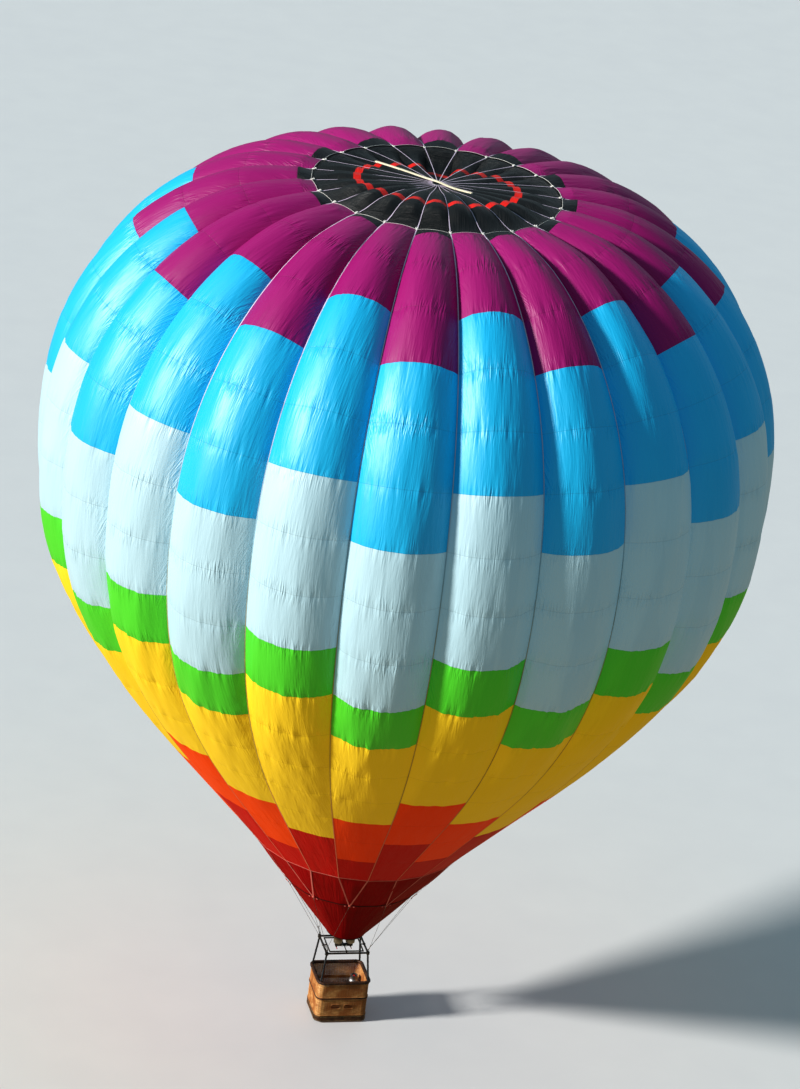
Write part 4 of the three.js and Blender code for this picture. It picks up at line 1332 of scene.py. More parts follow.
def skirt(name, node, finish, top, bottom, seed):
    """A band of the skirt's cone. It swells a little where no straps cross it."""
    per_gore, steps = 8, 22
    down = np.linspace(0, 1, steps)
    radius = top[0] + (bottom[0] - top[0]) * down
    z = top[1] + (bottom[1] - top[1]) * down
    flat = np.array([seam_polygon(r, h, per_gore) for r, h in zip(radius, z)])
    around = np.arange(GORES * per_gore) / per_gore
    number = np.floor(around).astype(int)
    place = np.abs(2 * (around % 1) - 1)
    pick = np.random.default_rng(seed)
    fall = math.atan2(top[1] - bottom[1], top[0] - bottom[0])
    out = polar(math.sin(fall), FIRST_SEAM + around * GORE_ANGLE, -math.cos(fall))
    length = math.hypot(top[0] - bottom[0], top[1] - bottom[1])
    free = np.where(number % 2 == 1, 1.0, 0.15)
    swell = 0.035 * free * (1 - place**2) * np.sin(math.pi * down)[:, None] * radius[:, None] / 2.5
    for waves in (31, 47, 62):
        lean, turn = pick.uniform(-0.6, 0.6), pick.uniform(0, 6.28)
        wave = np.sin(around / GORES * 2 * math.pi * waves + lean * down[:, None] + turn)
        swell += 0.0035 * free * wave * np.sin(math.pi * down)[:, None] * radius[:, None] / 2
    outer = flat + (swell - 0.0045)[..., None] * out
    inner = outer - 0.008 * out
    both = np.concatenate([outer, inner[::-1]])
    along = np.concatenate([down * length, down[::-1] * length, [0]])
    form = Form()
    form.grid(both, np.arange(GORES * per_gore + 1) / per_gore, along, True, True)
    band = form.make(name, [finish])
    settle(band, "root", "skirt_fabric", node)
    side = math.cos(HALF_GORE)
    girth = [2 * GORES * r * math.sin(HALF_GORE) for r in (top[0], bottom[0])]
    area = sum(girth) / 2 * length * side
    return band


def skirt_hem(name, radius, z, height, fall):
    """A doubled hem round the skirt, lying on its cone."""
    lean = np.array([-math.cos(fall), -math.sin(fall)])
    out = np.array([math.sin(fall), -math.cos(fall)])
    section = [(-0.5, 0.001), (-0.4, 0.006), (0, 0.0075), (0.4, 0.006), (0.5, 0.001), (0, -0.003)]
    rings = np.stack([seam_polygon(*(np.array([radius, z]) + along * height * lean + off * out))
                      for along, off in section], 1)
    form = Form()
    girth = lengths(seam_polygon(radius, z), True)
    form.hoop(rings, girth)
    return settle(form.make(name, [DARK_TAPE], 60), "root", "webbing")


# How steeply the skirt's two cones fall towards the burner
UPPER_FALL = math.atan2(SPLIT_DEPTH, MOUTH_RADIUS - SPLIT_RADIUS)
LOWER_FALL = math.atan2(SKIRT_DEPTH - SPLIT_DEPTH, SPLIT_RADIUS - SKIRT_BOTTOM_RADIUS)

mouth_tape()
skirt("skirt_upper_band", "skirt_upper", SKIRT_UPPER, on_mouth(SEAT_GAP, 0), (SPLIT_RADIUS, SPLIT_Z), 5)
skirt("skirt_lower_band", "skirt_lower", SKIRT_LOWER, (SPLIT_RADIUS - SEAT_GAP, SPLIT_Z - SEAT_GAP),
      (SKIRT_BOTTOM_RADIUS, SKIRT_Z), 6)
skirt_hem("skirt_split_hem", SPLIT_RADIUS, SPLIT_Z, 0.050, UPPER_FALL)
skirt_hem("skirt_bottom_hem", SKIRT_BOTTOM_RADIUS + 0.012, SKIRT_Z + 0.016, 0.040, LOWER_FALL)


# Suspension: two tapes meet in each V, and three wires run from the Vs to each corner of the frame


def apex_place(degrees):
    """The point of a V, just off the skirt where its two cones meet."""
    radius = SPLIT_RADIUS * math.cos(HALF_GORE) + math.sin(UPPER_FALL) * 0.040
    return polar(radius, degrees, SPLIT_Z - math.cos(UPPER_FALL) * 0.040)


def v_straps():
    """Tapes that run on from two neighbouring seams and meet in a V."""
    form = Form()
    apex = apex_place(0.0)
    out = outward(MOUTH_SLOPE, 0.0)
    for side in (-1, 1):
        radius, z = on_mouth(-0.03, 0.009)
        start = polar(radius, side * GORE_ANGLE / 2, z)
        radius, z = on_mouth(0.05, 0.006)
        below = polar(radius, side * GORE_ANGLE / 2 * 0.97, z)
        tip = apex + out * (0.004 * side)
        path = np.concatenate([[start], np.linspace(below, tip, 9)])
        sweep(form, path, ribbon(STRAP_WIDTH, TAPE_THICKNESS), out)
    straps = copied_round(form, "v_straps", ROSE_TAPE, 60, GORE_ANGLE, GORES // 2)
    nodes = [f"suspension_{quarter}" for quarter in range(1, 5)]
    return settle(straps, "root", "webbing", *nodes)


def apex_clips():
    """A sewn tab between two keepers, and a steel ring, at the point of each V."""
    form = Form()
    apex = apex_place(0.0)
    out = outward(MOUTH_SLOPE, 0.0)
    side = np.array([0.0, 1.0, 0.0])
    down = np.cross(side, out)
    down = down if down[2] < 0 else -down
    bar(form, apex - down * 0.075, apex + down * 0.005, 0.058, 0.020, 0.007, up=out)
    for step in (-1, 1):
        spot = apex + side * 0.115 * step - down * 0.02 + out * 0.004
        bar(form, spot - down * 0.026, spot + down * 0.026, 0.040, 0.016, 0.006, up=out)
    clips = copied_round(form, "apex_tabs", ROSE_TAPE, 45, GORE_ANGLE, GORES // 2)
    settle(clips, "root", "webbing")
    rings = Form()
    turn = turns(24)[:, None]
    loop = apex + down * 0.022 + 0.024 * (np.cos(turn) * side + np.sin(turn) * down)
    tube(rings, loop, 0.005, 8, up=out, closed=True)
    steel = copied_round(rings, "apex_rings", FITTINGS, 60, GORE_ANGLE, GORES // 2)
    return settle(steel, "root", "stainless_steel")


def link_of(quarter):
    """Where a corner link lies: its foot in the lug, its top, its three directions and its three Vs."""
    sign_x, sign_y = CORNERS[quarter]
    foot = np.array([sign_x * FRAME_X, sign_y * FRAME_Y, FRAME_Z])
    apexes = [apex_place(quarter * 90 + angle) for angle in (15, 45, 75)]
    ahead = unit(sum(unit(apex - foot) for apex in apexes))
    level = unit(np.array([-foot[1], foot[0], 0]))
    flat = np.cross(ahead, level)
    reach = LINK_BAR / 2 * abs(ahead[2]) + 0.005 * abs(flat[2])
    bottom = foot.copy()
    bottom[2] = FRAME_Z + CORNER_BLOCK[1] / 2 + LUG_HEIGHT - LUG_BAR - SEAT_GAP - reach
    return bottom, bottom + ahead * (LINK_LENGTH - LINK_BAR), level, ahead, flat, apexes


def rigging():
    """Steel wires from the Vs to the corner links, their crimped sleeves, and the links."""
    paths, sleeves, links = [], Form(), Form()
    for quarter in range(4):
        bottom, top, level, ahead, flat, apexes = link_of(quarter)
        for number, apex in enumerate(apexes):
            foot = top + level * 0.012 * (number - 1)
            run = unit(foot - apex)
            head = apex + run * 0.03
            paths.append((np.linspace(head, foot, 12), False))
            for place in (head + run * 0.06, foot - run * 0.075):
                ferrule(sleeves, place, run, 0.028, 0.022, 0.0078, 10, level)
        middle = (bottom + top) / 2
        oval = rounded(LINK_WIDTH - LINK_BAR, LINK_LENGTH - LINK_BAR, 0.020, 5)
        loop = middle + oval[:, :1] * level + oval[:, 1:] * ahead
        tube(links, loop, LINK_BAR / 2, 10, up=flat, closed=True)
        gate = middle + level * (LINK_WIDTH - LINK_BAR) / 2
        ferrule(links, gate, ahead, 0.024, 0.020, 0.0095, 12, flat)
    stranded("suspension_wires", paths, CABLE, 60, "stainless_steel", Radius=0.004, Sides=8)
    settle(sleeves.make("wire_sleeves", [FITTINGS], 50), "root", "stainless_steel")
    return settle(links.make("corner_links", [FITTINGS], 50), "root", "stainless_steel")


v_straps()
apex_clips()
rigging()


# Burner frame and burner


def bolt(form, place, axis, radius=0.008, paint=0):
    """A hexagon head with a washer under it."""
    height = 0.007
    place, axis = np.asarray(place, float), unit(axis)
    up = (1, 0, 0) if abs(axis[2]) > 0.9 else (0, 0, 1)
    tube(form, [place, place + axis * 0.002], radius * 1.45, 20, up=up, paint=paint)
    sweep(form, [place + axis * 0.0015, place + axis * height * 0.8, place + axis * height],
          np.array([circle(radius, 6), circle(radius, 6), circle(radius * 0.86, 6)]), up, paint=paint)


def four_bars(form, x, y, past_x, past_y, size, radius):
    """A level rectangle of square tubes, which reach past its corners by past_x and past_y."""
    for sign in (-1, 1):
        bar(form, (-x - past_x, sign * y, FRAME_Z), (x + past_x, sign * y, FRAME_Z), size, size, radius)
        bar(form, (sign * x, -y - past_y, FRAME_Z), (sign * x, y + past_y, FRAME_Z), size, size, radius)


def burner_frame():
    """A rectangle of tubes with two bearing collars, and a bolted block and a lug at each corner."""
    form = Form()
    four_bars(form, FRAME_X, FRAME_Y, -0.02, -0.02, FRAME_TUBE, 0.007)
    for sign in (-1, 1):
        lathe(form, eased_ring(0.0168, 0.033, -0.026, 0.026), (sign * FRAME_X, 0, FRAME_Z), 28, "X")
    half = CORNER_BLOCK[1] / 2
    for sign_x, sign_y in CORNERS:
        x, y = sign_x * FRAME_X, sign_y * FRAME_Y
        post(form, (x, y, FRAME_Z), half, CORNER_BLOCK[0], CORNER_BLOCK[0], 0.012)
        for low in (-0.022, 0.022):
            bolt(form, (x + sign_x * 0.040, y, FRAME_Z + low), (sign_x, 0, 0))
            bolt(form, (x, y + sign_y * 0.040, FRAME_Z + low), (0, sign_y, 0))
        side = unit(np.array([x, y, 0]))
        outline = rounded(0.050, LUG_HEIGHT + 0.006, 0.020, 5)
        hole = rounded(0.032, 0.032, 0.012, 5) + (0, LUG_HEIGHT / 2 + 0.003 - LUG_BAR - 0.016)
        centre = np.array([x, y, FRAME_Z + half + LUG_HEIGHT / 2 - 0.003])
        plate(form, outline, hole, 0.012, centre, side, (0, 0, 1))
    frame_piece = form.make("burner_frame_tubes", [STEEL], 35)
    return settle(frame_piece, "root", "stainless_steel", "burner_frame")


def gimbal_ring():
    """The ring of tubes that turns in the frame's collars and carries the burner in its own."""
    form = Form()
    four_bars(form, GIMBAL_X, GIMBAL_Y, 0, GIMBAL_TUBE / 2, GIMBAL_TUBE, 0.006)
    sleeve = eased_ring(0.0132, 0.027, -0.020, 0.020, 0.002, 0.003)
    for sign in (-1, 1):
        x = sign * (FRAME_X + FRAME_TUBE / 2)
        tube(form, [(sign * GIMBAL_X, 0, FRAME_Z), (x + sign * 0.010, 0, FRAME_Z),
                    (x + sign * 0.012, 0, FRAME_Z)], 0.0156, 20)
        lathe(form, sleeve, (0, sign * GIMBAL_Y, FRAME_Z), 24, "Y")
    ring = form.make("gimbal_ring_tubes", [STEEL], 35)
    return settle(ring, "gimbal", "stainless_steel", "gimbal_ring")


def dial(form, place, axis, paint_case, paint_face):
    """A small round gauge with a bezel and a pale face."""
    place, axis = np.asarray(place, float), unit(axis)
    tube(form, [place, place + axis * 0.018, place + axis * 0.022], 0.026, 28, paint=paint_case)
    tube(form, [place + axis * 0.0215, place + axis * 0.0228], 0.021, 28, paint=paint_face)
    bar(form, place + axis * 0.0232 + (0, 0, -0.005), place + axis * 0.0232 + (0.008, 0, 0.014),
        0.003, 0.0012, 0.0005, up=axis, paint=paint_case)


def burner_block():
    """The block between the two burners, with their jets, valves, levers and gauges."""
    form = Form()
    steel, brass, grip, face = range(4)
    pin_end = GIMBAL_Y + GIMBAL_TUBE / 2
    bar(form, (-0.240, 0, FRAME_Z), (0.240, 0, FRAME_Z), 0.090, 0.060, 0.012, paint=steel)
    tube(form, [(0, -pin_end, FRAME_Z), (0, pin_end, FRAME_Z)], 0.0126, 20, paint=steel)
    hub = eased_ring(0, 0.034, -0.004, 0.034, 0.004)
    jet_ring = [(0.020, 0.082), (0.058, 0.080), (0.062, 0.084), (0.056, 0.096), (0.050, 0.098),
                (0.020, 0.094)]
    for side in (-1, 1):
        base = np.array([side * CAN_X, 0, FRAME_Z])
        lathe(form, hub, base, 24, paint=steel)
        tube(form, [base, base + (0, 0, 0.085)], 0.016, 16, up=(1, 0, 0), paint=steel)
        lathe(form, jet_ring, base, 36, paint=brass)
        for turn in turns(12):
            jet = base + (0.052 * math.cos(turn), 0.052 * math.sin(turn), 0.095)
            tube(form, [jet, jet + (0, 0, 0.008)], 0.0035, 8, up=(1, 0, 0), paint=brass)
        x = side * 0.195
        valve = np.array([x, 0.040, FRAME_Z - 0.050])
        post(form, valve, 0.035, 0.034, 0.046, 0.007, brass)
        tube(form, [valve + (0, 0.020, -0.01), valve + (0, 0.033, -0.01)], 0.011, 6, paint=brass)
        post(form, (x, -0.010, FRAME_Z - 0.050), 0.025, 0.030, 0.030, 0.006, steel)
        lever_z = FRAME_Z - 0.070
        bar(form, (x, 0.020, lever_z), (x, -0.060, lever_z), 0.016, 0.010, 0.003, paint=steel)
        tube(form, [(x, y, lever_z) for y in (-0.045, -0.050, -0.096, -0.100)], 0.0115, 14, paint=grip)
        bolt(form, (x + side * 0.017, 0.040, FRAME_Z - 0.040), (side, 0, 0), 0.006, paint=steel)
        for end in (-1, 1):
            bolt(form, (side * 0.10, end * 0.045, FRAME_Z + 0.008), (0, end, 0), 0.006, paint=steel)
        dial(form, (side * 0.055, -0.045, FRAME_Z), (0, -1, 0), steel, face)
    block = form.make("burner_manifold", [STEEL, BRASS, GRIP, DIAL_FACE], 35)
    return settle(block, "burner", "stainless_steel", "burner_block")


def burner_can(number, side):
    """An open steel can round a burner, with rolled edges and a row of raised rims for its air holes."""
    wall = 0.0035
    outer = [(0.0605, 0.0315), (0.066, 0.034), (0.095, 0.056), (0.1195, 0.080), (0.1215, 0.090),
             (0.1215, 0.150), (0.1228, 0.154), (0.1228, 0.160), (0.1215, 0.164), (0.1215, 0.262),
             (0.1235, 0.266), (0.1235, 0.2705)]
    inner = [(radius - wall, height) for radius, height in outer[::-1]]
    form = Form()
    lathe(form, outer + inner, (side * CAN_X, 0, FRAME_Z), 64)
    holes = 10
    hole = circle(0.0085, 14)
    for turn in np.arange(holes) * 360 / holes:
        place = polar(0.1205, turn, FRAME_Z + 0.110) + (side * CAN_X, 0, 0)
        axis = polar(1, turn, 0)
        rim = place + hole[:, :1] * polar(1, turn + 90, 0) + hole[:, 1:] * np.array([0, 0, 1.0])
        tube(form, rim, 0.0018, 6, up=axis, closed=True)
    can = form.make(f"burner_can_{number}_rolled", [HOT_STEEL], 32)
    return settle(can, "burner", "stainless_steel", f"burner_can_{number}")


def burner_coil(number, side):
    """The tube that the fuel passes through, wound inside the can and standing above it."""
    start = bpy.data.meshes.new("coil")
    start.from_pydata([(0, 0, 0)], [], [])
    coil = show(bpy.data.objects.new(f"burner_coil_{number}_tube", start))
    WINDING.run(coil, HOT_STEEL, Turns=6.5, Width=0.1060, Height=0.190, Radius=0.0098)
    coil.data.transform(Matrix.Translation((side * CAN_X, 0, FRAME_Z + 0.130)))
    soften(coil.data, 60)
    return settle(coil, "burner", "stainless_steel", f"burner_coil_{number}")


burner_frame()
gimbal_ring()
burner_block()
for burner, x_side in ((1, -1), (2, 1)):
    burner_can(burner, x_side)
    burner_coil(burner, x_side)


# Basket


STEP_HOLES = [(side * STEP_X, end * BASKET[1] / 2) for side in (-1, 1) for end in (-1, 1)]


def in_step_hole(points):
    """Which points lie in one of the four holes that serve as steps."""
    x, y, z = points.T
    tall = np.abs(z - STEP_Z) < STEP_HEIGHT / 2 + 0.004
    wide = np.abs(np.abs(x) - STEP_X) < STEP_WIDTH / 2 + 0.004
    return tall & wide & (np.abs(y) > BASKET[1] / 2 - 0.06)


def wall_loop(inset, count):
    """Points round the basket, inside its wall's outer face by the inset."""
    return rounded_loop(BASKET[0] - 2 * inset, BASKET[1] - 2 * inset, BASKET_CORNER - inset, count)


def runs_outside(points, closed):
    """The stretches of a line that don't lie in a step hole."""
    inside = in_step_hole(points)
    if not inside.any():
        return [(points, closed)]
    if closed:
        start = int(np.argmax(inside))
        points, inside = np.roll(points, -start, 0), np.roll(inside, -start)
    runs, run = [], []
    for point, hidden in zip(points, inside):
        if hidden:
            if len(run) > 1:
                runs.append((np.array(run), False))
            run = []
        else:
            run.append(point)
    if len(run) > 1:
        runs.append((np.array(run), False))
    return runs


def basket_weave():
    """Cane woven in and out of upright stakes, row over row."""
    per_stake = 3
    loop = wall_loop(WALL / 2, STAKES * per_stake)
    out = ways_out(loop)
    wave = np.cos(math.pi * np.arange(len(loop)) / per_stake)
    pick = np.random.default_rng(12)
    runs = []
    bottom = BASKET_BOTTOM + WEAVE_PITCH / 2
    for row in range(int((BASKET_HEIGHT + FLOOR_THICKNESS) / WEAVE_PITCH)):
        swing = 0.0056 * wave * (-1) ** row + pick.uniform(-0.0007, 0.0007, len(loop))
        z = bottom + row * WEAVE_PITCH + pick.uniform(-0.0006, 0.0006, len(loop))
        runs += runs_outside(np.column_stack([loop, z]) + swing[:, None] * out, True)
    return stranded("basket_weave", runs, CANE, 180, "wicker", "basket_wall",
                    Radius=0.0075, Flatness=0.72, Sides=6)


def basket_stakes():
    """The upright stakes, cut where they would cross a step hole."""
    z = np.linspace(BASKET_BOTTOM + 0.002, WALL_TOP + 0.012, 60)
    runs = []
    for x, y in wall_loop(WALL / 2, STAKES * 3)[::3]:
        runs += runs_outside(np.column_stack([np.full(60, x), np.full(60, y), z]), False)
    ends = [(path[[0, -1]], False) for path, _ in runs]
    return stranded("basket_stakes", ends, CANE, 60, "wicker", Radius=0.0048, Sides=8)


def plaited_borders():
    """Borders of two twisted canes, and a frame of cane on both faces of the wall at each step hole.

    The borders run under the rim, above the scuff band, and below and above the belt.
    """
    count, twists, reach = 620, 124, 0.0045
    loop = wall_loop(-0.001, count)
    out = ways_out(loop)
    up = np.array([0, 0, 1])
    paths = []
    for z in (WALL_TOP - 0.012, FLOOR_Z + SCUFF_HEIGHT + 0.006, BELT_Z - 0.005,
              BELT_Z + BELT_HEIGHT + 0.005):
        for start in (0, math.pi):
            turn = (turns(count) * twists + start)[:, None]
            paths.append((at_height(loop, z) + reach * (np.cos(turn) * out + np.sin(turn) * up), True))
    for x, y in STEP_HOLES:
        outline = rounded(STEP_WIDTH + 0.010, STEP_HEIGHT + 0.010, 0.022, 6)
        for depth in (0.002, WALL - 0.002):
            face = np.full(len(outline), y - math.copysign(depth, y))
            path = np.column_stack([outline[:, 0] + x, face, outline[:, 1] + STEP_Z])
            paths.append((path, True))
    return stranded("basket_borders", paths, CANE, 80, "wicker", Radius=0.0062, Sides=6)


def basket_rim():
    """A padded leather rim, laced on, with soft dents where the lacing pulls it in."""
    loop = wall_loop(WALL / 2, 288)
    far = lengths(at_height(loop, 0.0), True)
    dents = 1 - 0.035 * np.exp(-((np.abs((far[:-1] / 0.075) % 1 - 0.5) / 0.12) ** 2))
    turn = turns(20)
    out = ways_out(loop)
    oval = np.cos(turn)[:, None] * out[:, None] + np.sin(turn)[:, None] * np.array([0, 0, 0.96])
    rings = at_height(loop, RIM_Z)[:, None] + RIM_RADIUS * dents[:, None, None] * oval
    form = Form()
    form.hoop(rings, far)
    rim = form.make("basket_rim_leather", [HIDE], 60)
    settle(rim, "root", "leather", "basket_rim")
    return rim


def rim_lacing():
    """Leather thongs that hold the rim down, looped round it and the wall's top row."""
    form = Form()
    loop = wall_loop(WALL / 2, 64)
    turn = np.radians(np.linspace(-62, 242, 19))
    spots = at_height(loop, RIM_Z)
    for spot, away, way in zip(spots, ways_out(loop), heading(spots, True)):
        ring = (spot + (RIM_RADIUS + 0.0005) * (np.cos(turn)[:, None] * away
                                                + np.sin(turn)[:, None] * np.array([0, 0, 0.965])))
        sweep(form, ring, rounded(0.011, 0.004, 0.0018, 2), way)
    lacing = form.make("rim_lacing", [BLACK_HIDE], 45)
    return settle(lacing, "root", "leather")


def leather_band(name, bottom, height, outset, *nodes):
    """A band of hide round the basket, with a rolled edge above and below."""
    thickness = 0.0085
    loop = wall_loop(-outset, 200)
    out = ways_out(loop)
    section = [(0, 0), (thickness, 0.002), (thickness * 1.1, 0.008), (thickness * 0.8, 0.016),
               (thickness * 0.8, height - 0.016), (thickness * 1.1, height - 0.008),
               (thickness, height - 0.002), (0, height)]
    rings = np.stack([at_height(loop, bottom + up) + away * out for away, up in section], 1)
    form = Form()
    girth = lengths(at_height(loop, 0.0), True)
    form.hoop(rings, girth)
    return settle(form.make(name, [HIDE], 50), "root", "leather", *nodes)


def band_stitches():
    """Waxed thread along the leather bands' edges."""
    paths = []
    for bottom, height, inset, outset in ((BASKET_BOTTOM, SCUFF_HEIGHT, 0.020, 0.0078),
                                          (BELT_Z, BELT_HEIGHT, 0.007, 0.0115)):
        for z in (bottom + inset, bottom + height - inset):
            paths.append((at_height(wall_loop(-outset, 240), z), True))
    thread = lines("band_stitching", paths)
    STITCHES.run(thread, THREAD, Spacing=0.011, Length=0.0040, Thickness=0.0012)
    return settle(thread, "root", "leather")


def upright_sleeve(number, sign_x, sign_y):
    """A padded cover over a pole, pulled in by three straps."""
    rim_top = RIM_Z + RIM_RADIUS * math.cos(math.pi / 8)
    foot = np.array([sign_x * POLE_FOOT[0], sign_y * POLE_FOOT[1], rim_top + SEAT_GAP])
    top = np.array([sign_x * FRAME_X, sign_y * FRAME_Y, FRAME_Z - CORNER_BLOCK[1] / 2 - SEAT_GAP])
    way = unit(top - foot)
    share = np.linspace(0, 1, 60)
    swell = 0.0255 + 0.0015 * np.sin(share * 40 + number) * np.sin(math.pi * share)
    for strap in SLEEVE_STRAPS:
        swell -= 0.0045 * np.exp(-(((share - strap) / 0.018) ** 2))
    swell[[0, -1]] = 0.018
    swell[[1, -2]] = 0.0235
    path = foot + share[:, None] * (top - foot)
    sections = np.array([circle(radius, 20) for radius in swell])
    form = Form()
    sweep(form, path, sections, (1, 0, 0))
    sleeve = form.make(f"upright_sleeve_{number}", [PADDING], 60)
    settle(sleeve, "root", "leather", f"upright_{number}")
    form = Form()
    for strap in SLEEVE_STRAPS:
        spot = foot + strap * (top - foot)
        ferrule(form, spot, way, 0.016, 0.013, 0.0238, 20, (1, 0, 0))
        buckle = spot + np.array([sign_x * 0.0235, 0, 0])
        bar(form, buckle - way * 0.013, buckle + way * 0.013, 0.022, 0.007, 0.002, up=(sign_x, 0, 0))
    straps = form.make(f"upright_straps_{number}", [BLACK_HIDE], 45)
    return settle(straps, "root", "leather")


def board():
    """The basket's floor: a ply board with eased edges."""
    count = 96
    edge = ((0.004, FLOOR_Z), (0.001, FLOOR_Z - 0.001), (0, FLOOR_Z - 0.004), (0, BASKET_BOTTOM + 0.003),
            (0.003, BASKET_BOTTOM))
    loops = np.array([at_height(wall_loop(WALL + SEAT_GAP + shrink, count), z) for shrink, z in edge])
    last = (len(edge) - 1) * count
    form = Form()
    form.grid(loops, round_across=True, ends=(range(count), range(last, last + count)))
    floor_board = form.make("basket_board", [PLY], 30)
    return settle(floor_board, "root", "plywood", "basket_floor")


def skids():
    """Three ash runners with rounded noses, under the floor."""
    length, width, height = SKID
    z = BASKET_BOTTOM - SEAT_GAP - height / 2
    share = np.linspace(-1, 1, 21)
    nose = 0.012 * smooth(0.90, 1.0, np.abs(share))
    sections = np.array([rounded(width - shrink * 0.6, height - shrink, 0.006) for shrink in nose])
    for number, place in enumerate((-1, 0, 1), 1):
        path = np.column_stack([share * length / 2, np.full(21, place * SKID_SPACING), z + nose * 0.5])
        form = Form()
        sweep(form, path, sections, (0, 0, 1))
        runner = form.make(f"runner_{number}", [ASH], 40)
        settle(runner, "root", "plywood", f"skid_{number}")


def fuel_cylinder(number, sign_x, sign_y):
    """An aluminium cylinder with a guard collar, a valve, a weld bead and two leather straps."""
    alloy, brass, grip, strap = range(4)
    radius = CYLINDER_RADIUS
    centre = np.array([sign_x * CYLINDER_PLACE[0], sign_y * CYLINDER_PLACE[1], FLOOR_Z + 0.0004])
    shell = [(0, 0.022), (0.080, 0.014), (0.120, 0.002), (0.130, 0.0), (0.142, 0.010), (radius, 0.040),
             (radius, 0.235), (radius + 0.0012, 0.240), (radius, 0.245), (radius, 0.600),
             (0.1490, 0.640), (0.1430, 0.675), (0.131, 0.703), (0.112, 0.722), (0.088, 0.734), (0, 0.740)]
    form = Form()
    lathe(form, shell, centre, 56, paint=alloy)
    collar = [(0.090, 0.728), (0.0945, 0.728), (0.0945, 0.822), (0.0965, 0.826), (0.0965, 0.830),
              (0.0890, 0.830), (0.0890, 0.826), (0.090, 0.822)]
    lathe(form, collar, centre, 48, paint=alloy)
    base = centre + (0, 0, 0.738)
    tube(form, [base, base + (0, 0, 0.030)], 0.020, 6, up=(1, 0, 0), paint=brass)
    tube(form, [base + (0, 0, 0.025), base + (0, 0, 0.060)], 0.011, 12, up=(1, 0, 0), paint=brass)
    lathe(form, eased_ring(0.004, 0.029, 0.058, 0.074), base, 12, paint=grip)
    tube(form, [base + (0, 0, 0.018), base + (-sign_x * 0.050, 0, 0.018)], 0.009, 12, paint=brass)
    inside, outside = radius + SEAT_GAP, radius + 0.0035
    for z in (0.200, 0.560):
        band = [(inside, z - 0.020), (outside, z - 0.018), (outside, z + 0.018), (inside, z + 0.020)]
        lathe(form, band, centre, 56, paint=strap)
    cylinder = form.make(f"fuel_tank_{number}", [ALUMINIUM, BRASS, GRIP, BLACK_HIDE], 32)
    return settle(cylinder, "root", "aluminium", f"fuel_cylinder_{number}")


basket_weave()
basket_stakes()
plaited_borders()
basket_rim()
rim_lacing()
leather_band("basket_scuff_hide", BASKET_BOTTOM, SCUFF_HEIGHT, SEAT_GAP, "basket_scuff")
leather_band("basket_belt", BELT_Z, BELT_HEIGHT, 0.0045)
band_stitches()
for corner, (corner_x, corner_y) in enumerate(CORNERS, 1):
    upright_sleeve(corner, corner_x, corner_y)
board()
skids()
for tank, (tank_x, tank_y) in enumerate(((-1, -1), (1, -1), (1, 1)), 1):
    fuel_cylinder(tank, tank_x, tank_y)


# Stage


# The view of the photograph. The focal length and the height are in its pixels, the sensor in mm.
CAMERA_PLACE = (-25.1443, -89.0202, 39.0840)
CAMERA_RIGHT = (0.96831, -0.22277, 0.11288)
CAMERA_DOWN = (0.00786, -0.42459, -0.90535)
CAMERA_AHEAD = (0.24961, 0.87755, -0.40938)
FOCAL_LENGTH = 4000
PHOTO_HEIGHT = 1089
SENSOR = 36


def make_camera():
    """A camera where the photograph was taken from, with a long lens."""
    camera = bpy.data.cameras.new("camera")
    camera.sensor_fit = "VERTICAL"
    camera.sensor_height = SENSOR
    camera.lens = SENSOR * FOCAL_LENGTH / PHOTO_HEIGHT
    camera.clip_start, camera.clip_end = 1, 2000
    holder = show(bpy.data.objects.new("camera", camera))
    right, down, ahead = (Vector(way).normalized() for way in (CAMERA_RIGHT, CAMERA_DOWN, CAMERA_AHEAD))
    turned = Matrix((right, -down, -ahead)).transposed().to_4x4()
    holder.matrix_world = Matrix.Translation(CAMERA_PLACE) @ turned
    bpy.context.scene.camera = holder


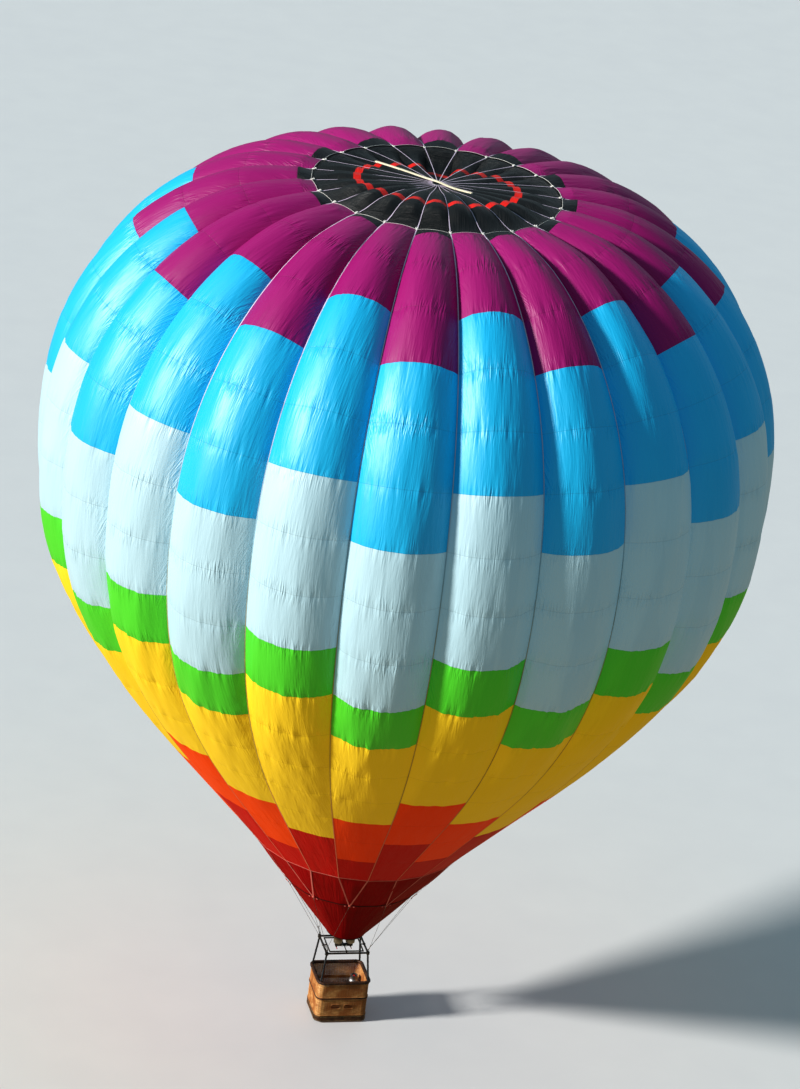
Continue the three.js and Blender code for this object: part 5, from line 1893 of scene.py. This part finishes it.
def sun(name, strength, azimuth, elevation, size, colour):
    """A distant lamp that stands at this azimuth and elevation, seen from the balloon, in degrees."""
    lamp = bpy.data.lights.new(name, "SUN")
    lamp.energy = strength
    lamp.angle = math.radians(size)
    lamp.color = colour
    holder = show(bpy.data.objects.new(name, lamp))
    towards = polar(math.cos(math.radians(elevation)), azimuth, math.sin(math.radians(elevation)))
    holder.rotation_euler = Vector(towards).to_track_quat("Z", "Y").to_euler()


def studio_sky():
    """Soft light, blue from above and warm from below."""
    world = bpy.data.worlds.new("studio")
    bpy.context.scene.world = world
    world.use_nodes = True
    sky = Tree()
    sky.tree = world.node_tree
    place = sky.node("ShaderNodeTexCoord", None, None, "Generated")
    height = sky.node("ShaderNodeSeparateXYZ", None, {0: place}, "Z")
    stops = ((0.0, (0.36, 0.27, 0.15, 1)), (0.25, (0.34, 0.26, 0.15, 1)), (0.47, (0.14, 0.19, 0.18, 1)),
             (0.54, (0.15, 0.24, 0.27, 1)), (1.0, (0.12, 0.19, 0.24, 1)))
    colour = sky.node("ShaderNodeValToRGB", {"stops": stops}, {"Fac": height * 0.5 + 0.5})
    sky.feed(world.node_tree.nodes["Background"].inputs["Color"], colour)
    world.node_tree.nodes["Background"].inputs["Strength"].default_value = 1.0


def make_stage():
    """The floor, the sky and the two lamps."""
    half = 700.0
    mesh = bpy.data.meshes.new("studio_floor")
    mesh.from_pydata([(-half, -half, GROUND_Z), (half, -half, GROUND_Z), (half, half, GROUND_Z),
                      (-half, half, GROUND_Z)], [], [(0, 1, 2, 3)])
    mesh.materials.append(studio_floor())
    floor = show(bpy.data.objects.new("studio_floor", mesh))
    floor.visible_diffuse = floor.visible_glossy = False
    studio_sky()
    sun("key", strength=4.5, azimuth=185, elevation=24, size=7, colour=(1.0, 0.965, 0.90))
    sun("back_fill", strength=0.20, azimuth=60, elevation=35, size=60, colour=(0.92, 0.96, 1.0))
    bpy.context.scene.view_settings.view_transform = "Standard"
    bpy.context.scene.view_settings.look = "Medium High Contrast"


make_camera()
make_stage()
